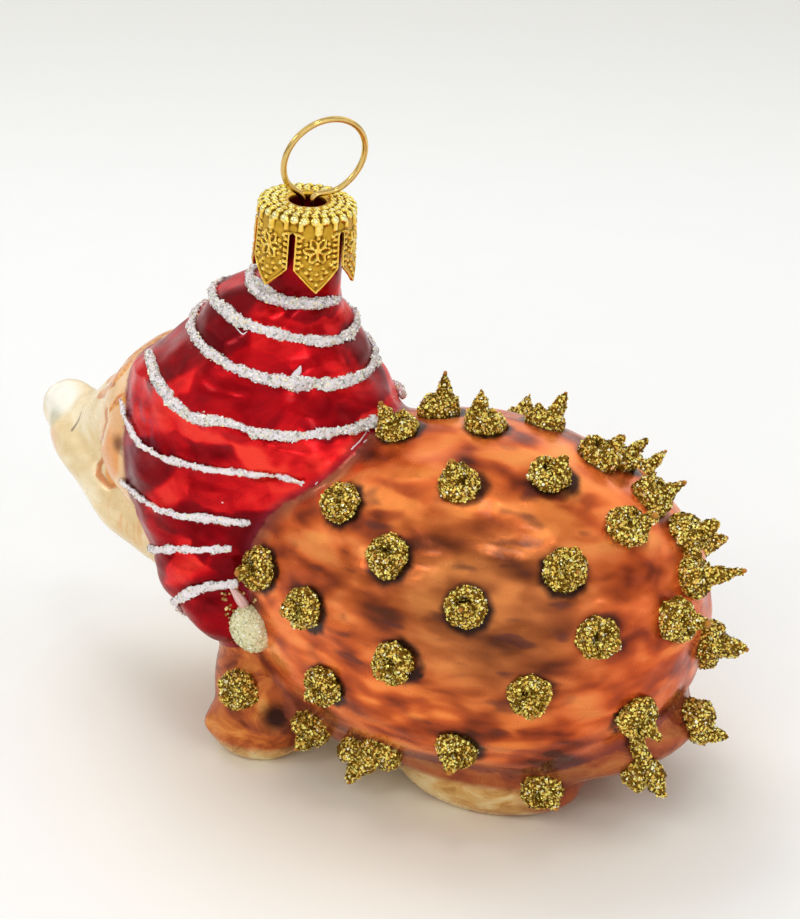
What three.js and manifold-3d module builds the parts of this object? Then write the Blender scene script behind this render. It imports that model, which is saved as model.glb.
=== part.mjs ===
// A blown-glass hedgehog ornament that stands on its paws or hangs from the wire ring of its crown cap.
// Millimetres. X runs from the nose (-) to the rump (+), Y from the side of the hat's tail (-) to the other
// side (+), and Z is up from the plane that the paws stand on.
import * as THREE from "three";
import { mergeVertices } from "three/addons/utils/BufferGeometryUtils.js";
import Module from "manifold-3d";

const wasm = await Module();
wasm.setup();

// Main sizes of the glass: from nose to rump, across the coat, and from the soles to the foot of the neck.
const BODY_LENGTH = 91;
const BODY_WIDTH = 41;
const BODY_HEIGHT = 54.4;

// The sizes at which the forms and places below are drawn in millimetres. They stretch with the main sizes.
const DRAWN_SIZE = new THREE.Vector3(91, 41, 54.4);
const STRETCH = new THREE.Vector3(BODY_LENGTH, BODY_WIDTH, BODY_HEIGHT).divide(DRAWN_SIZE);
const placed = (drawn) => new THREE.Vector3(...drawn).multiply(STRETCH);

const GLASS_WALL = 1.0;
const SEAT_GAP = 0.3; // clearance between the glass and each piece that sits on it

// Facets round a form of the outer skin and from end to end of it, and the same for the hollow in it.
const GLASS_AROUND = 20;
const GLASS_ALONG = 12;
const HOLLOW_AROUND = 12;
const HOLLOW_ALONG = 8;
const LARGE_FORM = 12; // half width over which a form takes the full count of facets
const SMALL_FORM_SHARE = 0.6; // share of the facets that a smaller form takes

// The forms of the blown glass. Each is a spine of stations with half sizes: wide along its across
// direction, up and down square to it. The first and last station are the rounded ends.
const COAT = {
  across: [0, 1, 0],
  square: 2.6,
  stations: [
    { at: [-20.5, 0, 24] },
    { at: [-5, 0, 23.5], wide: 17.5, up: 16.3, down: 18.5 },
    { at: [11, 0, 22.8], wide: 20.5, up: 19.3, down: 19.5 },
    { at: [26.5, 0, 20.5], wide: 17.5, up: 16.2, down: 15.5 },
    { at: [36.8, 0, 18.5] },
  ],
};
const HAT = {
  across: [1, 0, 0],
  stations: [
    { at: [-12.7, 0, 55.8] },
    { at: [-14.5, 0, 50.5], wide: 9.1, up: 8.8, down: 8.8 },
    { at: [-16.6, -0.5, 40], wide: 16.6, up: 14.3, down: 14.3 },
    { at: [-18.6, -4.5, 31.8], wide: 15.5, up: 11.2, down: 12.2 },
    { at: [-17.8, -9.5, 23.8], wide: 8.6, up: 6.9, down: 7.4 },
    { at: [-13.9, -14, 15.9] },
  ],
};
const HEAD = {
  across: [0, -1, 0],
  stations: [
    { at: [-11, -1, 35] },
    { at: [-26.7, 2, 33.9], wide: 13, up: 12, down: 13.2 },
    { at: [-38, 5.5, 32.5] },
  ],
};
const FACE = {
  across: [0, -1, 0],
  stations: [
    { at: [-18, 0, 34] },
    { at: [-29, 3, 33.4], wide: 11.5, up: 10, down: 12 },
    { at: [-38, 5.5, 31.6], wide: 7.6, up: 6.6, down: 8.2 },
    { at: [-46, 7.8, 29.2], wide: 4, up: 3, down: 4.4 },
    { at: [-51.5, 9.2, 29.4] },
  ],
};
const NOSE = {
  across: [0, -1, 0],
  stations: [
    { at: [-46.8, 7.7, 29.1] },
    { at: [-50.4, 8.7, 29.1], wide: 3.4, up: 3.5, down: 4.2 },
    { at: [-54, 9.7, 29.3] },
  ],
};
const JAW = {
  across: [0, -1, 0],
  stations: [
    { at: [-52, 8.5, 28] },
    { at: [-42.5, 6, 25.8], wide: 7.2, up: 5, down: 4.6 },
    { at: [-34, 4, 21.6], wide: 8.6, up: 6, down: 5 },
    { at: [-20.8, 1, 13.6] },
  ],
};
const CHEST = {
  across: [0, 1, 0],
  stations: [
    { at: [-24, 3, 28] },
    { at: [-14, 1, 16], wide: 11, up: 8.5, down: 8.5 },
    { at: [-4, 0, 5] },
  ],
};
const BELLY = {
  across: [0, 1, 0],
  square: 2.4,
  stations: [
    { at: [-20, 0, 9] },
    { at: [9, 0, 8.5], wide: 15.5, up: 7, down: 6.5 },
    { at: [37, 0, 10] },
  ],
};
const FRONT_LEG = {
  across: [0, 1, 0],
  stations: [
    { at: [-12, -6, 20] },
    { at: [-13.3, -9.5, 10], wide: 5, up: 5.6, down: 5.6 },
    { at: [-13.5, -11, 1] },
  ],
};
const FRONT_PAW = {
  across: [0, -1, 0],
  stations: [
    { at: [-7, -10.5, 4] },
    { at: [-13.3, -11, 3.7], wide: 4.4, up: 4.2, down: 4.4 },
    { at: [-19.4, -11.5, 3.7] },
  ],
};
const REAR_PAW = {
  across: [0, -1, 0],
  stations: [
    { at: [27, -8.5, 4.5] },
    { at: [15.5, -9.5, 4.2], wide: 4.6, up: 4.8, down: 4.8 },
    { at: [4.8, -10, 4] },
  ],
};

// The neck of the glass, its crown cap and its wire hanger share a frame that leans back.
const NECK_FOOT = [-12.5, 0, DRAWN_SIZE.z];
const NECK_LEAN_DEG = 5;
const NECK_RADIUS = 4.4;
const NECK_BORE_RADIUS = 3.5;
const NECK_RIM = 10.3; // height of the open rim over the neck's foot
const NECK_ROOT = 6; // how far the neck runs down into the hat

const CAP_SHEET = 0.4;
const CAP_GAP = 0.3; // clearance between the cap's top and the glass rim
const CAP_SHOULDER_RADIUS = 5.4;
const CAP_SKIRT_RADIUS = 5.7; // at the petals' points
const CAP_CROWN = 0.05; // height of the crown over the shoulder
const CAP_CROWN_RADIUS = 3.1;
const CAP_HOLE_RADIUS = 2.2;
const CAP_PETALS = 6;
const CAP_FACETS = 30;
const PETAL_LENGTH = 8.7; // shoulder to point
const PETAL_POINT = 2.6; // length of the tapering point
const PETAL_SLOT_TOP = 1.75; // shoulder to the top of a slot
const PETAL_SLOT_WIDTH = 0.7;
const PETAL_TURN_DEG = -47; // places one petal towards the side of the hat's tail

const WIRE_RADIUS = 0.375;
const WIRE_SIDES = 6;
const WIRE_STEPS = 46; // from end to end of the wire
const RING_POINTS = 20; // that the wire's middle passes on its way round the ring
const RING_RADIUS = 5; // to the wire's middle
const RING_CENTRE = 5.5; // ring's middle over the cap's shoulder
const RING_OPEN_DEG = 38; // half of the arc that the ring leaves open at its foot
const RING_TURN_DEG = 55; // the ring's plane, turned from the X axis
const RING_LEAN_DEG = 15; // in the ring's plane, away from the neck's axis
const RING_TILT_DEG = 11; // out of the ring's plane
const WIRE_BEND = 0.5; // height over the crown where the wire bends from its legs into the ring
const WIRE_THROAT = 0.62; // each strand's distance from the neck's axis in the cap's hole
const WIRE_LEG_SPREAD = 2.75; // at the feet of the legs
const WIRE_LEG_LENGTH = 9.5; // from the cap's shoulder down

// White stripes of glitter glue round the hat. Each lies on the ring of the hat at its share of the spine,
// between two angles from the side of the hat's tail, where the rump's side is positive. A lean lowers the
// rump's side and raises the face's side by a share of the spine, and a sag lowers the tail's side. The
// fourth comes back as the ninth, past the head, on the far side.
const STRIPE_THICKNESS = 0.7;
const STRIPE_SIDES = 5;
const STRIPE_STEP_DEG = 15;
const ROUND_THE_HAT = { from: -174, to: 174, wide: 1.35 };
const OVER_THE_TAIL = { from: -110, to: 47, wide: 1 };
const STRIPES = [
  { ...ROUND_THE_HAT, share: 0.054, lean: -0.024, sag: -0.023 },
  { ...ROUND_THE_HAT, share: 0.161, lean: -0.031, sag: -0.02 },
  { ...ROUND_THE_HAT, share: 0.255, lean: -0.002, sag: -0.008 },
  { from: -115, to: 80, wide: 1.35, share: 0.389, lean: -0.063, sag: -0.002 },
  { ...OVER_THE_TAIL, share: 0.426, lean: -0.03, sag: 0.177 },
  { ...OVER_THE_TAIL, to: 34, share: 0.648, lean: 0.016, sag: 0.086 },
  { ...OVER_THE_TAIL, to: 27, share: 0.779, lean: 0.002, sag: 0.02 },
  { ...OVER_THE_TAIL, to: 31, share: 0.894, sag: -0.01, wide: 1.2 },
  { from: 122, to: 238, wide: 1.35, share: 0.389, lean: -0.063 },
];
const POMPOM = { at: [-11.5, -15, 18.5], wide: 2.2, long: 2.6, thick: 1.9, around: 14, along: 9 };

// Spikes of gold glitter glue. A round dab has a cone drawn out of one side of it, and the rest of its rim
// stands up round the hollow behind the cone.
const SPIKE_RADIUS = 2.45;
const SPIKE_RIM_RADIUS = 1.85;
const SPIKE_RIM_HEIGHT = 1.9;
const SPIKE_HOLLOW_RADIUS = 1.15;
const SPIKE_HOLLOW_HEIGHT = 1.3;
const SPIKE_LEAN = 1; // how far the point stands off the dab's middle
const SPIKE_SINK = 1; // depth that the curve of the glass cuts away
const SPIKE_SIDES = 8;
const SPIKE_EDGE = 0.45; // share of the rim's height at which the dab's side turns in
const SPIKE_LEAN_RATE = 1.4; // how soon the lean is full from the dab's edge to its middle
const GLUE_STRING_RADIUS = 0.9;
const GLUE_STRING_SIDES = 5;
const GLUE_STRING_STEPS = 6;
const COAT_HEART = [8, 0, 22]; // the point in the coat that all spikes point away from

// A spike stands where a line from the coat's heart leaves the glass. Its numbers are the line's heading
// (degrees from the rump towards the side of the hat's tail) and rise over level, the turn of the cone's
// lean (0 right and 90 down, as seen from outside) and the length. Two together were run into each other.
const SPIKES = [
  [[155, 69, 90, 4.8]],
  [[-146, 74, 200, 5]],
  [[-12, 83, 290, 4.6]],
  [[-48, 62, 150, 4.8]],
  [[66, 58, 225, 4.6]],
  [[19, 54, 65, 4.8]],
  [[-16, 49, 115, 4.8], [-25, 43, 115, 4.8]],
  [[123, 42, 100, 4.4]],
  [[92, 33, 90, 4.6]],
  [[34, 28, 90, 4.8]],
  [[11, 32, 35, 4.8]],
  [[-9, 33, 55, 4.8]],
  [[-8, 22, 45, 4.8], [-1, 14, 30, 6.4]],
  [[141, 11, 60, 4.4]],
  [[120, 8, 170, 4.4]],
  [[85, 1, 135, 4.4]],
  [[63, 21, 90, 4.6]],
  [[47, -2, 95, 4.6]],
  [[31, 11, 40, 4.8]],
  [[10, 9, 20, 4.6]],
  [[-5, -3, 20, 5.4], [-13, -9, 20, 4.4]],
  [[113, -16, 120, 4.4]],
  [[65, -26, 120, 4.6]],
  [[37, -40, 0, 4]],
  [[133, -40, 130, 4.8]],
  [[99, -44, 170, 4.2], [113, -47, 100, 4.2]],
  [[21, -11, 70, 4.6], [14, -29, 300, 4.4]],
  [[-3, -22, 120, 4.2], [-12, -27, 60, 4]],
  [[146, -25, 130, 4.6]],
  [[-88, 44, 30, 4.8]],
  [[-124, 38, 80, 4.6]],
  [[-98, 20, 90, 4.8]],
  [[-68, 26, 60, 4.8]],
  [[-42, 30, 120, 4.8]],
  [[-140, 12, 110, 4.4]],
  [[-119, 5, 20, 4.6]],
  [[-88, -3, 60, 4.6]],
  [[-53, 5, 90, 4.8]],
  [[-33, 8, 150, 4.8]],
  [[-112, -18, 70, 4.6]],
  [[-65, -24, 50, 4.8]],
  [[-38, -36, 130, 4.4]],
  [[-132, -38, 50, 4.6]],
  [[-98, -42, 90, 4.2]],
  [[-147, -26, 60, 4.6]],
];

const LACQUER = new THREE.MeshStandardMaterial({ color: 0xb5532a, roughness: 0.18, metalness: 0.5 });
const GOLD_SHEET = new THREE.MeshStandardMaterial({ color: 0xd9ad35, roughness: 0.28, metalness: 1 });
const GOLD_WIRE = new THREE.MeshStandardMaterial({ color: 0xd6b25a, roughness: 0.2, metalness: 1 });
const GOLD_GLITTER = new THREE.MeshStandardMaterial({ color: 0x9a7d1e, roughness: 0.45, metalness: 0.8 });
const WHITE_GLITTER = new THREE.MeshStandardMaterial({ color: 0xe6e4e2, roughness: 0.5, metalness: 0.1 });
const CREAM_GLITTER = new THREE.MeshStandardMaterial({ color: 0xe4dfbe, roughness: 0.6, metalness: 0.1 });

function solidOf(geometry) {
  const bare = geometry.clone();
  bare.deleteAttribute("normal");
  bare.deleteAttribute("uv");
  const merged = mergeVertices(bare, 1e-4);
  const mesh = new wasm.Mesh({
    numProp: 3,
    vertProperties: new Float32Array(merged.attributes.position.array),
    triVerts: new Uint32Array(merged.index.array),
  });
  return new wasm.Manifold(mesh);
}

function geometryOf(solid) {
  const mesh = solid.getMesh();
  const geometry = new THREE.BufferGeometry();
  geometry.setAttribute("position", new THREE.BufferAttribute(mesh.vertProperties, 3));
  geometry.setIndex(new THREE.BufferAttribute(mesh.triVerts, 1));
  geometry.computeVertexNormals();
  return geometry;
}

function tubeSolid(path, radius, sides, steps) {
  const corners = Array.from({ length: sides }, (_, i) => {
    const angle = (2 * Math.PI * i) / sides;
    return new THREE.Vector2(radius * Math.cos(angle), radius * Math.sin(angle));
  });
  const section = new THREE.Shape(corners);
  return solidOf(new THREE.ExtrudeGeometry(section, { steps, extrudePath: path, bevelEnabled: false }));
}

const joined = (solids) => solids.reduce((whole, solid) => whole.add(solid));

// A cut can leave crumbs beside the piece: only the piece itself is kept.
function largest(solid) {
  const [first, ...others] = solid.decompose();
  return others.reduce((best, piece) => (piece.volume() > best.volume() ? piece : best), first);
}

const mirrored = (form) => ({
  ...form,
  stations: form.stations.map(({ at, ...sizes }) => ({ at: [at[0], -at[1], at[2]], ...sizes })),
});

// The skin of a form: a point for each share of the spine and each direction (x across, z up) on the unit
// circle. Grow moves the whole skin outwards, or inwards when it is negative.
class Skin {
  constructor(form, grow = 0) {
    this.square = form.square ?? 2;
    this.across = new THREE.Vector3(...form.across);
    const points = form.stations.map((station) => placed(station.at));
    const last = points.length - 1;
    points[0].add(points[0].clone().sub(points[1]).setLength(grow));
    points[last].add(points[last].clone().sub(points[last - 1]).setLength(grow));
    this.spine = new THREE.CatmullRomCurve3(points);
    const sizes = form.stations.slice(1, -1).map((station, i) => {
      const share = (i + 1) / last;
      const roundness = 2 * Math.sqrt(share * (1 - share));
      const { side, up } = this.frame(share);
      const [wider, taller] = [side, up].map((direction) => direction.multiply(STRETCH).length());
      const size = new THREE.Vector3(station.wide * wider, station.up * taller, station.down * taller);
      return size.addScalar(grow).divideScalar(roundness);
    });
    this.sizes = new THREE.CatmullRomCurve3([sizes[0], ...sizes, sizes.at(-1)]);
  }

  frame(share) {
    const middle = this.spine.getPoint(share);
    const along = this.spine.getTangent(share);
    const side = this.across.clone().addScaledVector(along, -this.across.dot(along)).normalize();
    const up = new THREE.Vector3().crossVectors(along, side);
    return { middle, along, side, up };
  }

  point(share, x, z) {
    const { middle, side, up } = this.frame(share);
    const size = this.sizes.getPoint(share);
    const radius = Math.hypot(x, z);
    const power = z < 0 ? this.square : 2;
    const corner = radius > 0 ? (Math.abs(x) / radius) ** power + (Math.abs(z) / radius) ** power : 1;
    const fill = corner ** (-1 / power);
    return middle
      .addScaledVector(side, size.x * x * fill)
      .addScaledVector(up, (z < 0 ? size.z : size.y) * z * fill);
  }

  // The point on the ring at this share, at an angle in degrees from up towards the side.
  ringPoint(share, degrees) {
    const angle = THREE.MathUtils.degToRad(degrees);
    const roundness = 2 * Math.sqrt(share * (1 - share));
    return this.point(share, Math.sin(angle) * roundness, Math.cos(angle) * roundness);
  }

  // The place on that ring with the skin's outward direction and the direction down the spine.
  lie(share, degrees) {
    const place = this.ringPoint(share, degrees);
    const down = this.ringPoint(share + 0.01, degrees).sub(place).normalize();
    const round = this.ringPoint(share, degrees + 1).sub(place).normalize();
    const outward = new THREE.Vector3().crossVectors(down, round).normalize();
    return { place, outward, down };
  }

  solid(around, along) {
    const geometry = new THREE.SphereGeometry(1, around, along);
    const position = geometry.attributes.position;
    for (let i = 0; i < position.count; i++) {
      const share = (1 - position.getY(i)) / 2;
      const point = this.point(share, position.getX(i), position.getZ(i));
      position.setXYZ(i, point.x, point.y, point.z);
    }
    return solidOf(geometry);
  }
}

// The neck's frame, used by the glass, the cap and the hanger.
const neck = new THREE.Group();
neck.position.copy(placed(NECK_FOOT));
neck.rotation.y = THREE.MathUtils.degToRad(NECK_LEAN_DEG);
neck.updateMatrix();

function neckTube(radius, bottom, top, facets) {
  const tube = new THREE.CylinderGeometry(radius, radius, top - bottom, facets);
  tube.rotateX(Math.PI / 2);
  tube.translate(0, 0, (top + bottom) / 2);
  tube.applyMatrix4(neck.matrix);
  return solidOf(tube);
}

const GLASS_FORMS = [
  COAT,
  HAT,
  HEAD,
  FACE,
  NOSE,
  JAW,
  CHEST,
  BELLY,
  FRONT_LEG,
  mirrored(FRONT_LEG),
  FRONT_PAW,
  mirrored(FRONT_PAW),
  REAR_PAW,
  mirrored(REAR_PAW),
];
function glassSolid(grow, around, along) {
  const forms = GLASS_FORMS.map((form) => {
    const widest = Math.max(...form.stations.slice(1, -1).map((station) => station.wide));
    const share = widest > LARGE_FORM ? 1 : SMALL_FORM_SHARE;
    return new Skin(form, grow).solid(2 * Math.round((around * share) / 2), Math.round(along * share));
  });
  return joined(forms);
}

// Everything under the standing plane is cut away, so that the paws have flat soles.
function underFloor(top) {
  const size = 400;
  const block = new THREE.BoxGeometry(size, size, size);
  block.translate(0, 0, top - size / 2);
  return solidOf(block);
}

function makeGlass() {
  const skin = glassSolid(0, GLASS_AROUND, GLASS_ALONG).add(
    neckTube(NECK_RADIUS, -NECK_ROOT, NECK_RIM, CAP_FACETS / 2),
  );
  const hollow = glassSolid(-GLASS_WALL, HOLLOW_AROUND, HOLLOW_ALONG)
    .subtract(underFloor(GLASS_WALL))
    .add(neckTube(NECK_BORE_RADIUS, -NECK_ROOT, NECK_RIM + 1, CAP_FACETS / 2));
  return skin.subtract(underFloor(0)).subtract(hollow);
}

// The glass with the seat gap round it, which trims whatever is laid on the glass.
const seat = glassSolid(SEAT_GAP, GLASS_AROUND, GLASS_ALONG).add(
  neckTube(NECK_RADIUS + SEAT_GAP, -NECK_ROOT, NECK_RIM + SEAT_GAP, CAP_FACETS / 2),
);

// Stamped cap: a crown with a hole, a shoulder, and a skirt that is slit into pointed petals.
const CAP_SHOULDER = NECK_RIM + CAP_GAP + CAP_SHEET; // height of the shoulder in the neck's frame

function makeCap() {
  const profile = [
    [CAP_HOLE_RADIUS, CAP_CROWN - CAP_SHEET],
    [CAP_CROWN_RADIUS, CAP_CROWN - CAP_SHEET],
    [CAP_SHOULDER_RADIUS - CAP_SHEET, -CAP_SHEET],
    [CAP_SKIRT_RADIUS - CAP_SHEET, -PETAL_LENGTH],
    [CAP_SKIRT_RADIUS, -PETAL_LENGTH],
    [CAP_SHOULDER_RADIUS, -CAP_SHEET],
    [CAP_SHOULDER_RADIUS - CAP_SHEET / 2, 0],
    [CAP_CROWN_RADIUS, CAP_CROWN],
    [CAP_HOLE_RADIUS, CAP_CROWN],
    [CAP_HOLE_RADIUS, CAP_CROWN - CAP_SHEET],
  ].map(([radius, height]) => new THREE.Vector2(radius, height));
  const sheet = new THREE.LatheGeometry(profile, CAP_FACETS);
  sheet.rotateX(Math.PI / 2);
  const halfPitch = CAP_SKIRT_RADIUS * Math.sin(Math.PI / CAP_PETALS);
  const half = PETAL_SLOT_WIDTH / 2;
  const taper = PETAL_POINT - PETAL_LENGTH;
  const below = -PETAL_LENGTH - 1;
  const gap = new THREE.Shape(
    [
      [-half, -PETAL_SLOT_TOP],
      [-half, taper],
      [-halfPitch, -PETAL_LENGTH],
      [-halfPitch, below],
      [halfPitch, below],
      [halfPitch, -PETAL_LENGTH],
      [half, taper],
      [half, -PETAL_SLOT_TOP],
    ].map(([x, y]) => new THREE.Vector2(x, y)),
  );
  let cap = solidOf(sheet);
  for (let i = 0; i < CAP_PETALS; i++) {
    const slot = new THREE.ExtrudeGeometry(gap, { depth: 2 * CAP_SKIRT_RADIUS, bevelEnabled: false });
    slot.rotateX(Math.PI / 2);
    slot.rotateZ(THREE.MathUtils.degToRad(PETAL_TURN_DEG + ((i + 0.5) * 360) / CAP_PETALS));
    cap = cap.subtract(solidOf(slot));
  }
  return cap;
}

// One wire: up a leg in the neck, through the cap's hole, round the ring and down the other leg.
function makeHanger() {
  const throat = new THREE.Vector3(0, 0, CAP_CROWN + WIRE_BEND);
  const leg = [
    [WIRE_LEG_SPREAD, -WIRE_LEG_LENGTH],
    [WIRE_LEG_SPREAD * 0.72, -WIRE_LEG_LENGTH * 0.55],
    [WIRE_THROAT * 1.15, -WIRE_LEG_LENGTH * 0.16],
    [WIRE_THROAT, 0],
  ].map(([x, z]) => new THREE.Vector3(x, 0, z).add(throat));
  const otherLeg = leg.map(({ x, y, z }) => new THREE.Vector3(-x, y, z)).reverse();
  const [tilt, lean, open] = [RING_TILT_DEG, RING_LEAN_DEG, RING_OPEN_DEG].map(THREE.MathUtils.degToRad);
  const leaned = new THREE.Euler(tilt, lean, 0);
  const arc = Array.from({ length: RING_POINTS + 1 }, (_, i) => {
    const angle = -Math.PI / 2 + open + (2 * (Math.PI - open) * i) / RING_POINTS;
    const across = RING_RADIUS * Math.cos(angle);
    const height = RING_CENTRE + RING_RADIUS * Math.sin(angle);
    return new THREE.Vector3(across, 0, height).sub(throat).applyEuler(leaned).add(throat);
  });
  const path = new THREE.CatmullRomCurve3([...leg, ...arc, ...otherLeg]);
  return tubeSolid(path, WIRE_RADIUS, WIRE_SIDES, WIRE_STEPS);
}

// A stripe is a bead laid along a ring of the hat and trimmed by the glass.
function makeStripe({ share, from, to, wide, lean = 0, sag = 0 }, hat) {
  const steps = Math.round((to - from) / STRIPE_STEP_DEG);
  const bead = new THREE.CylinderGeometry(1, 1, 1, STRIPE_SIDES, steps);
  const position = bead.attributes.position;
  for (let i = 0; i < position.count; i++) {
    const degrees = from + (to - from) * (position.getY(i) + 0.5);
    const angle = THREE.MathUtils.degToRad(degrees);
    const at = share + lean * Math.sin(angle) + sag * Math.cos(angle);
    const { place, outward, down } = hat.lie(at, degrees);
    place.addScaledVector(down, (position.getX(i) * wide) / 2);
    place.addScaledVector(outward, SEAT_GAP + ((1 + position.getZ(i)) * STRIPE_THICKNESS) / 2);
    position.setXYZ(i, place.x, place.y, place.z);
  }
  return largest(solidOf(bead).subtract(seat));
}

// A spike's place on the glass with its outward direction and the direction of its lean.
const heart = placed(COAT_HEART);
const outerSkin = new THREE.Mesh(geometryOf(glassSolid(0, GLASS_AROUND, GLASS_ALONG)));
outerSkin.material.side = THREE.DoubleSide;
const raycaster = new THREE.Raycaster();

function skinHit(direction) {
  raycaster.set(heart, direction);
  return raycaster.intersectObject(outerSkin).at(-1);
}

function spikeSeat(headingDeg, riseDeg, turnDeg) {
  const [heading, rise, turn] = [headingDeg, riseDeg, turnDeg].map(THREE.MathUtils.degToRad);
  const level = new THREE.Vector3(Math.cos(heading), -Math.sin(heading), 0);
  const right = new THREE.Vector3(Math.sin(heading), Math.cos(heading), 0);
  const line = level.clone().multiplyScalar(Math.cos(rise)).setZ(Math.sin(rise));
  const up = level.clone().multiplyScalar(-Math.sin(rise)).setZ(Math.cos(rise));
  const hit = skinHit(line);
  const outward = hit.face.normal.clone().add(line).normalize();
  const lean = right.multiplyScalar(Math.cos(turn)).addScaledVector(up, -Math.sin(turn));
  lean.addScaledVector(outward, -lean.dot(outward)).normalize();
  return { place: hit.point, outward, lean };
}

function spikeDab({ place, outward, lean }, length) {
  const profile = [
    [0, -SPIKE_SINK],
    [SPIKE_RADIUS, -SPIKE_SINK],
    [SPIKE_RADIUS, SPIKE_RIM_HEIGHT * SPIKE_EDGE],
    [SPIKE_RIM_RADIUS, SPIKE_RIM_HEIGHT],
    [SPIKE_HOLLOW_RADIUS, SPIKE_HOLLOW_HEIGHT],
    [0, length],
  ].map(([radius, height]) => new THREE.Vector2(radius, height));
  const dab = new THREE.LatheGeometry(profile, SPIKE_SIDES);
  const position = dab.attributes.position;
  for (let i = 0; i < position.count; i++) {
    const height = position.getY(i);
    const radius = Math.hypot(position.getX(i), position.getZ(i));
    const inner = (SPIKE_RADIUS - radius) / SPIKE_RADIUS;
    const share = height > 0 ? Math.min(1, SPIKE_LEAN_RATE * inner) : 0;
    position.setX(i, position.getX(i) + SPIKE_LEAN * share);
  }
  const beside = new THREE.Vector3().crossVectors(lean, outward);
  dab.applyMatrix4(new THREE.Matrix4().makeBasis(lean, outward, beside).setPosition(place));
  return solidOf(dab);
}

// A string of glue along the skin between two dabs.
function glueString(from, to) {
  const points = Array.from({ length: GLUE_STRING_STEPS + 1 }, (_, i) => {
    const between = from.place.clone().lerp(to.place, i / GLUE_STRING_STEPS);
    const hit = skinHit(between.sub(heart).normalize());
    return hit.point.addScaledVector(hit.face.normal, GLUE_STRING_RADIUS);
  });
  const path = new THREE.CatmullRomCurve3(points);
  return tubeSolid(path, GLUE_STRING_RADIUS, GLUE_STRING_SIDES, GLUE_STRING_STEPS);
}

function makeSpike(spikes) {
  const seats = spikes.map(([heading, rise, turn]) => spikeSeat(heading, rise, turn));
  const solids = seats.map((place, i) => spikeDab(place, spikes[i][3]));
  if (seats.length > 1) solids.push(glueString(...seats));
  return largest(joined(solids).subtract(seat));
}

const part = new THREE.Group();
const standing = new THREE.Group();
part.add(standing);

function addPiece(name, solid, material, parent = standing) {
  const mesh = new THREE.Mesh(geometryOf(solid), material);
  mesh.name = name;
  parent.add(mesh);
  return mesh;
}

const glass = makeGlass();
addPiece("glass_body", glass, LACQUER);
standing.add(neck);
const cap = addPiece("crown_cap", makeCap(), GOLD_SHEET, neck);
cap.position.z = CAP_SHOULDER;
const hanger = addPiece("wire_hanger", makeHanger(), GOLD_WIRE, neck);
hanger.position.z = CAP_SHOULDER;
hanger.rotation.z = THREE.MathUtils.degToRad(RING_TURN_DEG);

const hatSkin = new Skin(HAT);
STRIPES.forEach((stripe, i) => addPiece(`hat_stripe_${i + 1}`, makeStripe(stripe, hatSkin), WHITE_GLITTER));

function makePompom() {
  const ball = new THREE.SphereGeometry(1, POMPOM.around, POMPOM.along);
  ball.scale(POMPOM.wide, POMPOM.thick, POMPOM.long);
  ball.translate(...placed(POMPOM.at));
  return largest(solidOf(ball).subtract(seat));
}
addPiece("hat_pompom", makePompom(), CREAM_GLITTER);

SPIKES.forEach((spikes, i) => addPiece(`gold_spike_${i + 1}`, makeSpike(spikes), GOLD_GLITTER));

// The origin is the middle of the object's outline, on the standing plane.
part.updateMatrixWorld(true);
const box = new THREE.Box3().setFromObject(part, true);
standing.position.set(-(box.min.x + box.max.x) / 2, -(box.min.y + box.max.y) / 2, -box.min.z);

export default part;
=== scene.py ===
"""Blown-glass hedgehog ornament: the looks of the glass, the glitter glue, the crown cap and the wire."""

import math
from contextlib import contextmanager

import bpy
import numpy as np
from bpy.props import FloatProperty, FloatVectorProperty, PointerProperty
from mathutils import Matrix, Vector
from mathutils.bvhtree import BVHTree
from mathutils.kdtree import KDTree


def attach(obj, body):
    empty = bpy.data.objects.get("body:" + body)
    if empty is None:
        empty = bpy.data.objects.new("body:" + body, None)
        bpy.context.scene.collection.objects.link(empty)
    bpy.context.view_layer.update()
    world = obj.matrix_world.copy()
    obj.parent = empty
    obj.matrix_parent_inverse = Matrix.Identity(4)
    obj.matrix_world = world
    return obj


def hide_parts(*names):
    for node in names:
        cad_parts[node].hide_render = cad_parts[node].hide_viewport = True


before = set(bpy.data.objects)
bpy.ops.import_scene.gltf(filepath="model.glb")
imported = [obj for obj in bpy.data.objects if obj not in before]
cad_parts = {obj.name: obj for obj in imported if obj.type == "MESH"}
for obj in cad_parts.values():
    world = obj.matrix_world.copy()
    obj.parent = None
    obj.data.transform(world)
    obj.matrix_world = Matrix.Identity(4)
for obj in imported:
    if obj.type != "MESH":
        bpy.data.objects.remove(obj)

bl_info = {
    "name": "Glass Hedgehog Ornament",
    "version": (1, 0, 0),
    "blender": (4, 5, 0),
    "location": "3D Viewport > Sidebar > Ornament",
    "description": "Dresses the packed hedgehog ornament: blown glass, glitter glue, crown cap and wire",
    "category": "Object",
}

MM = 0.001


def numbered(stem):
    """The CAD nodes with this stem, in the order of their numbers."""
    names = [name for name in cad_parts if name.startswith(stem)]
    return sorted(names, key=lambda name: int(name[len(stem):]))


STRIPES = numbered("hat_stripe_")
SPIKES = numbered("gold_spike_")

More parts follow.
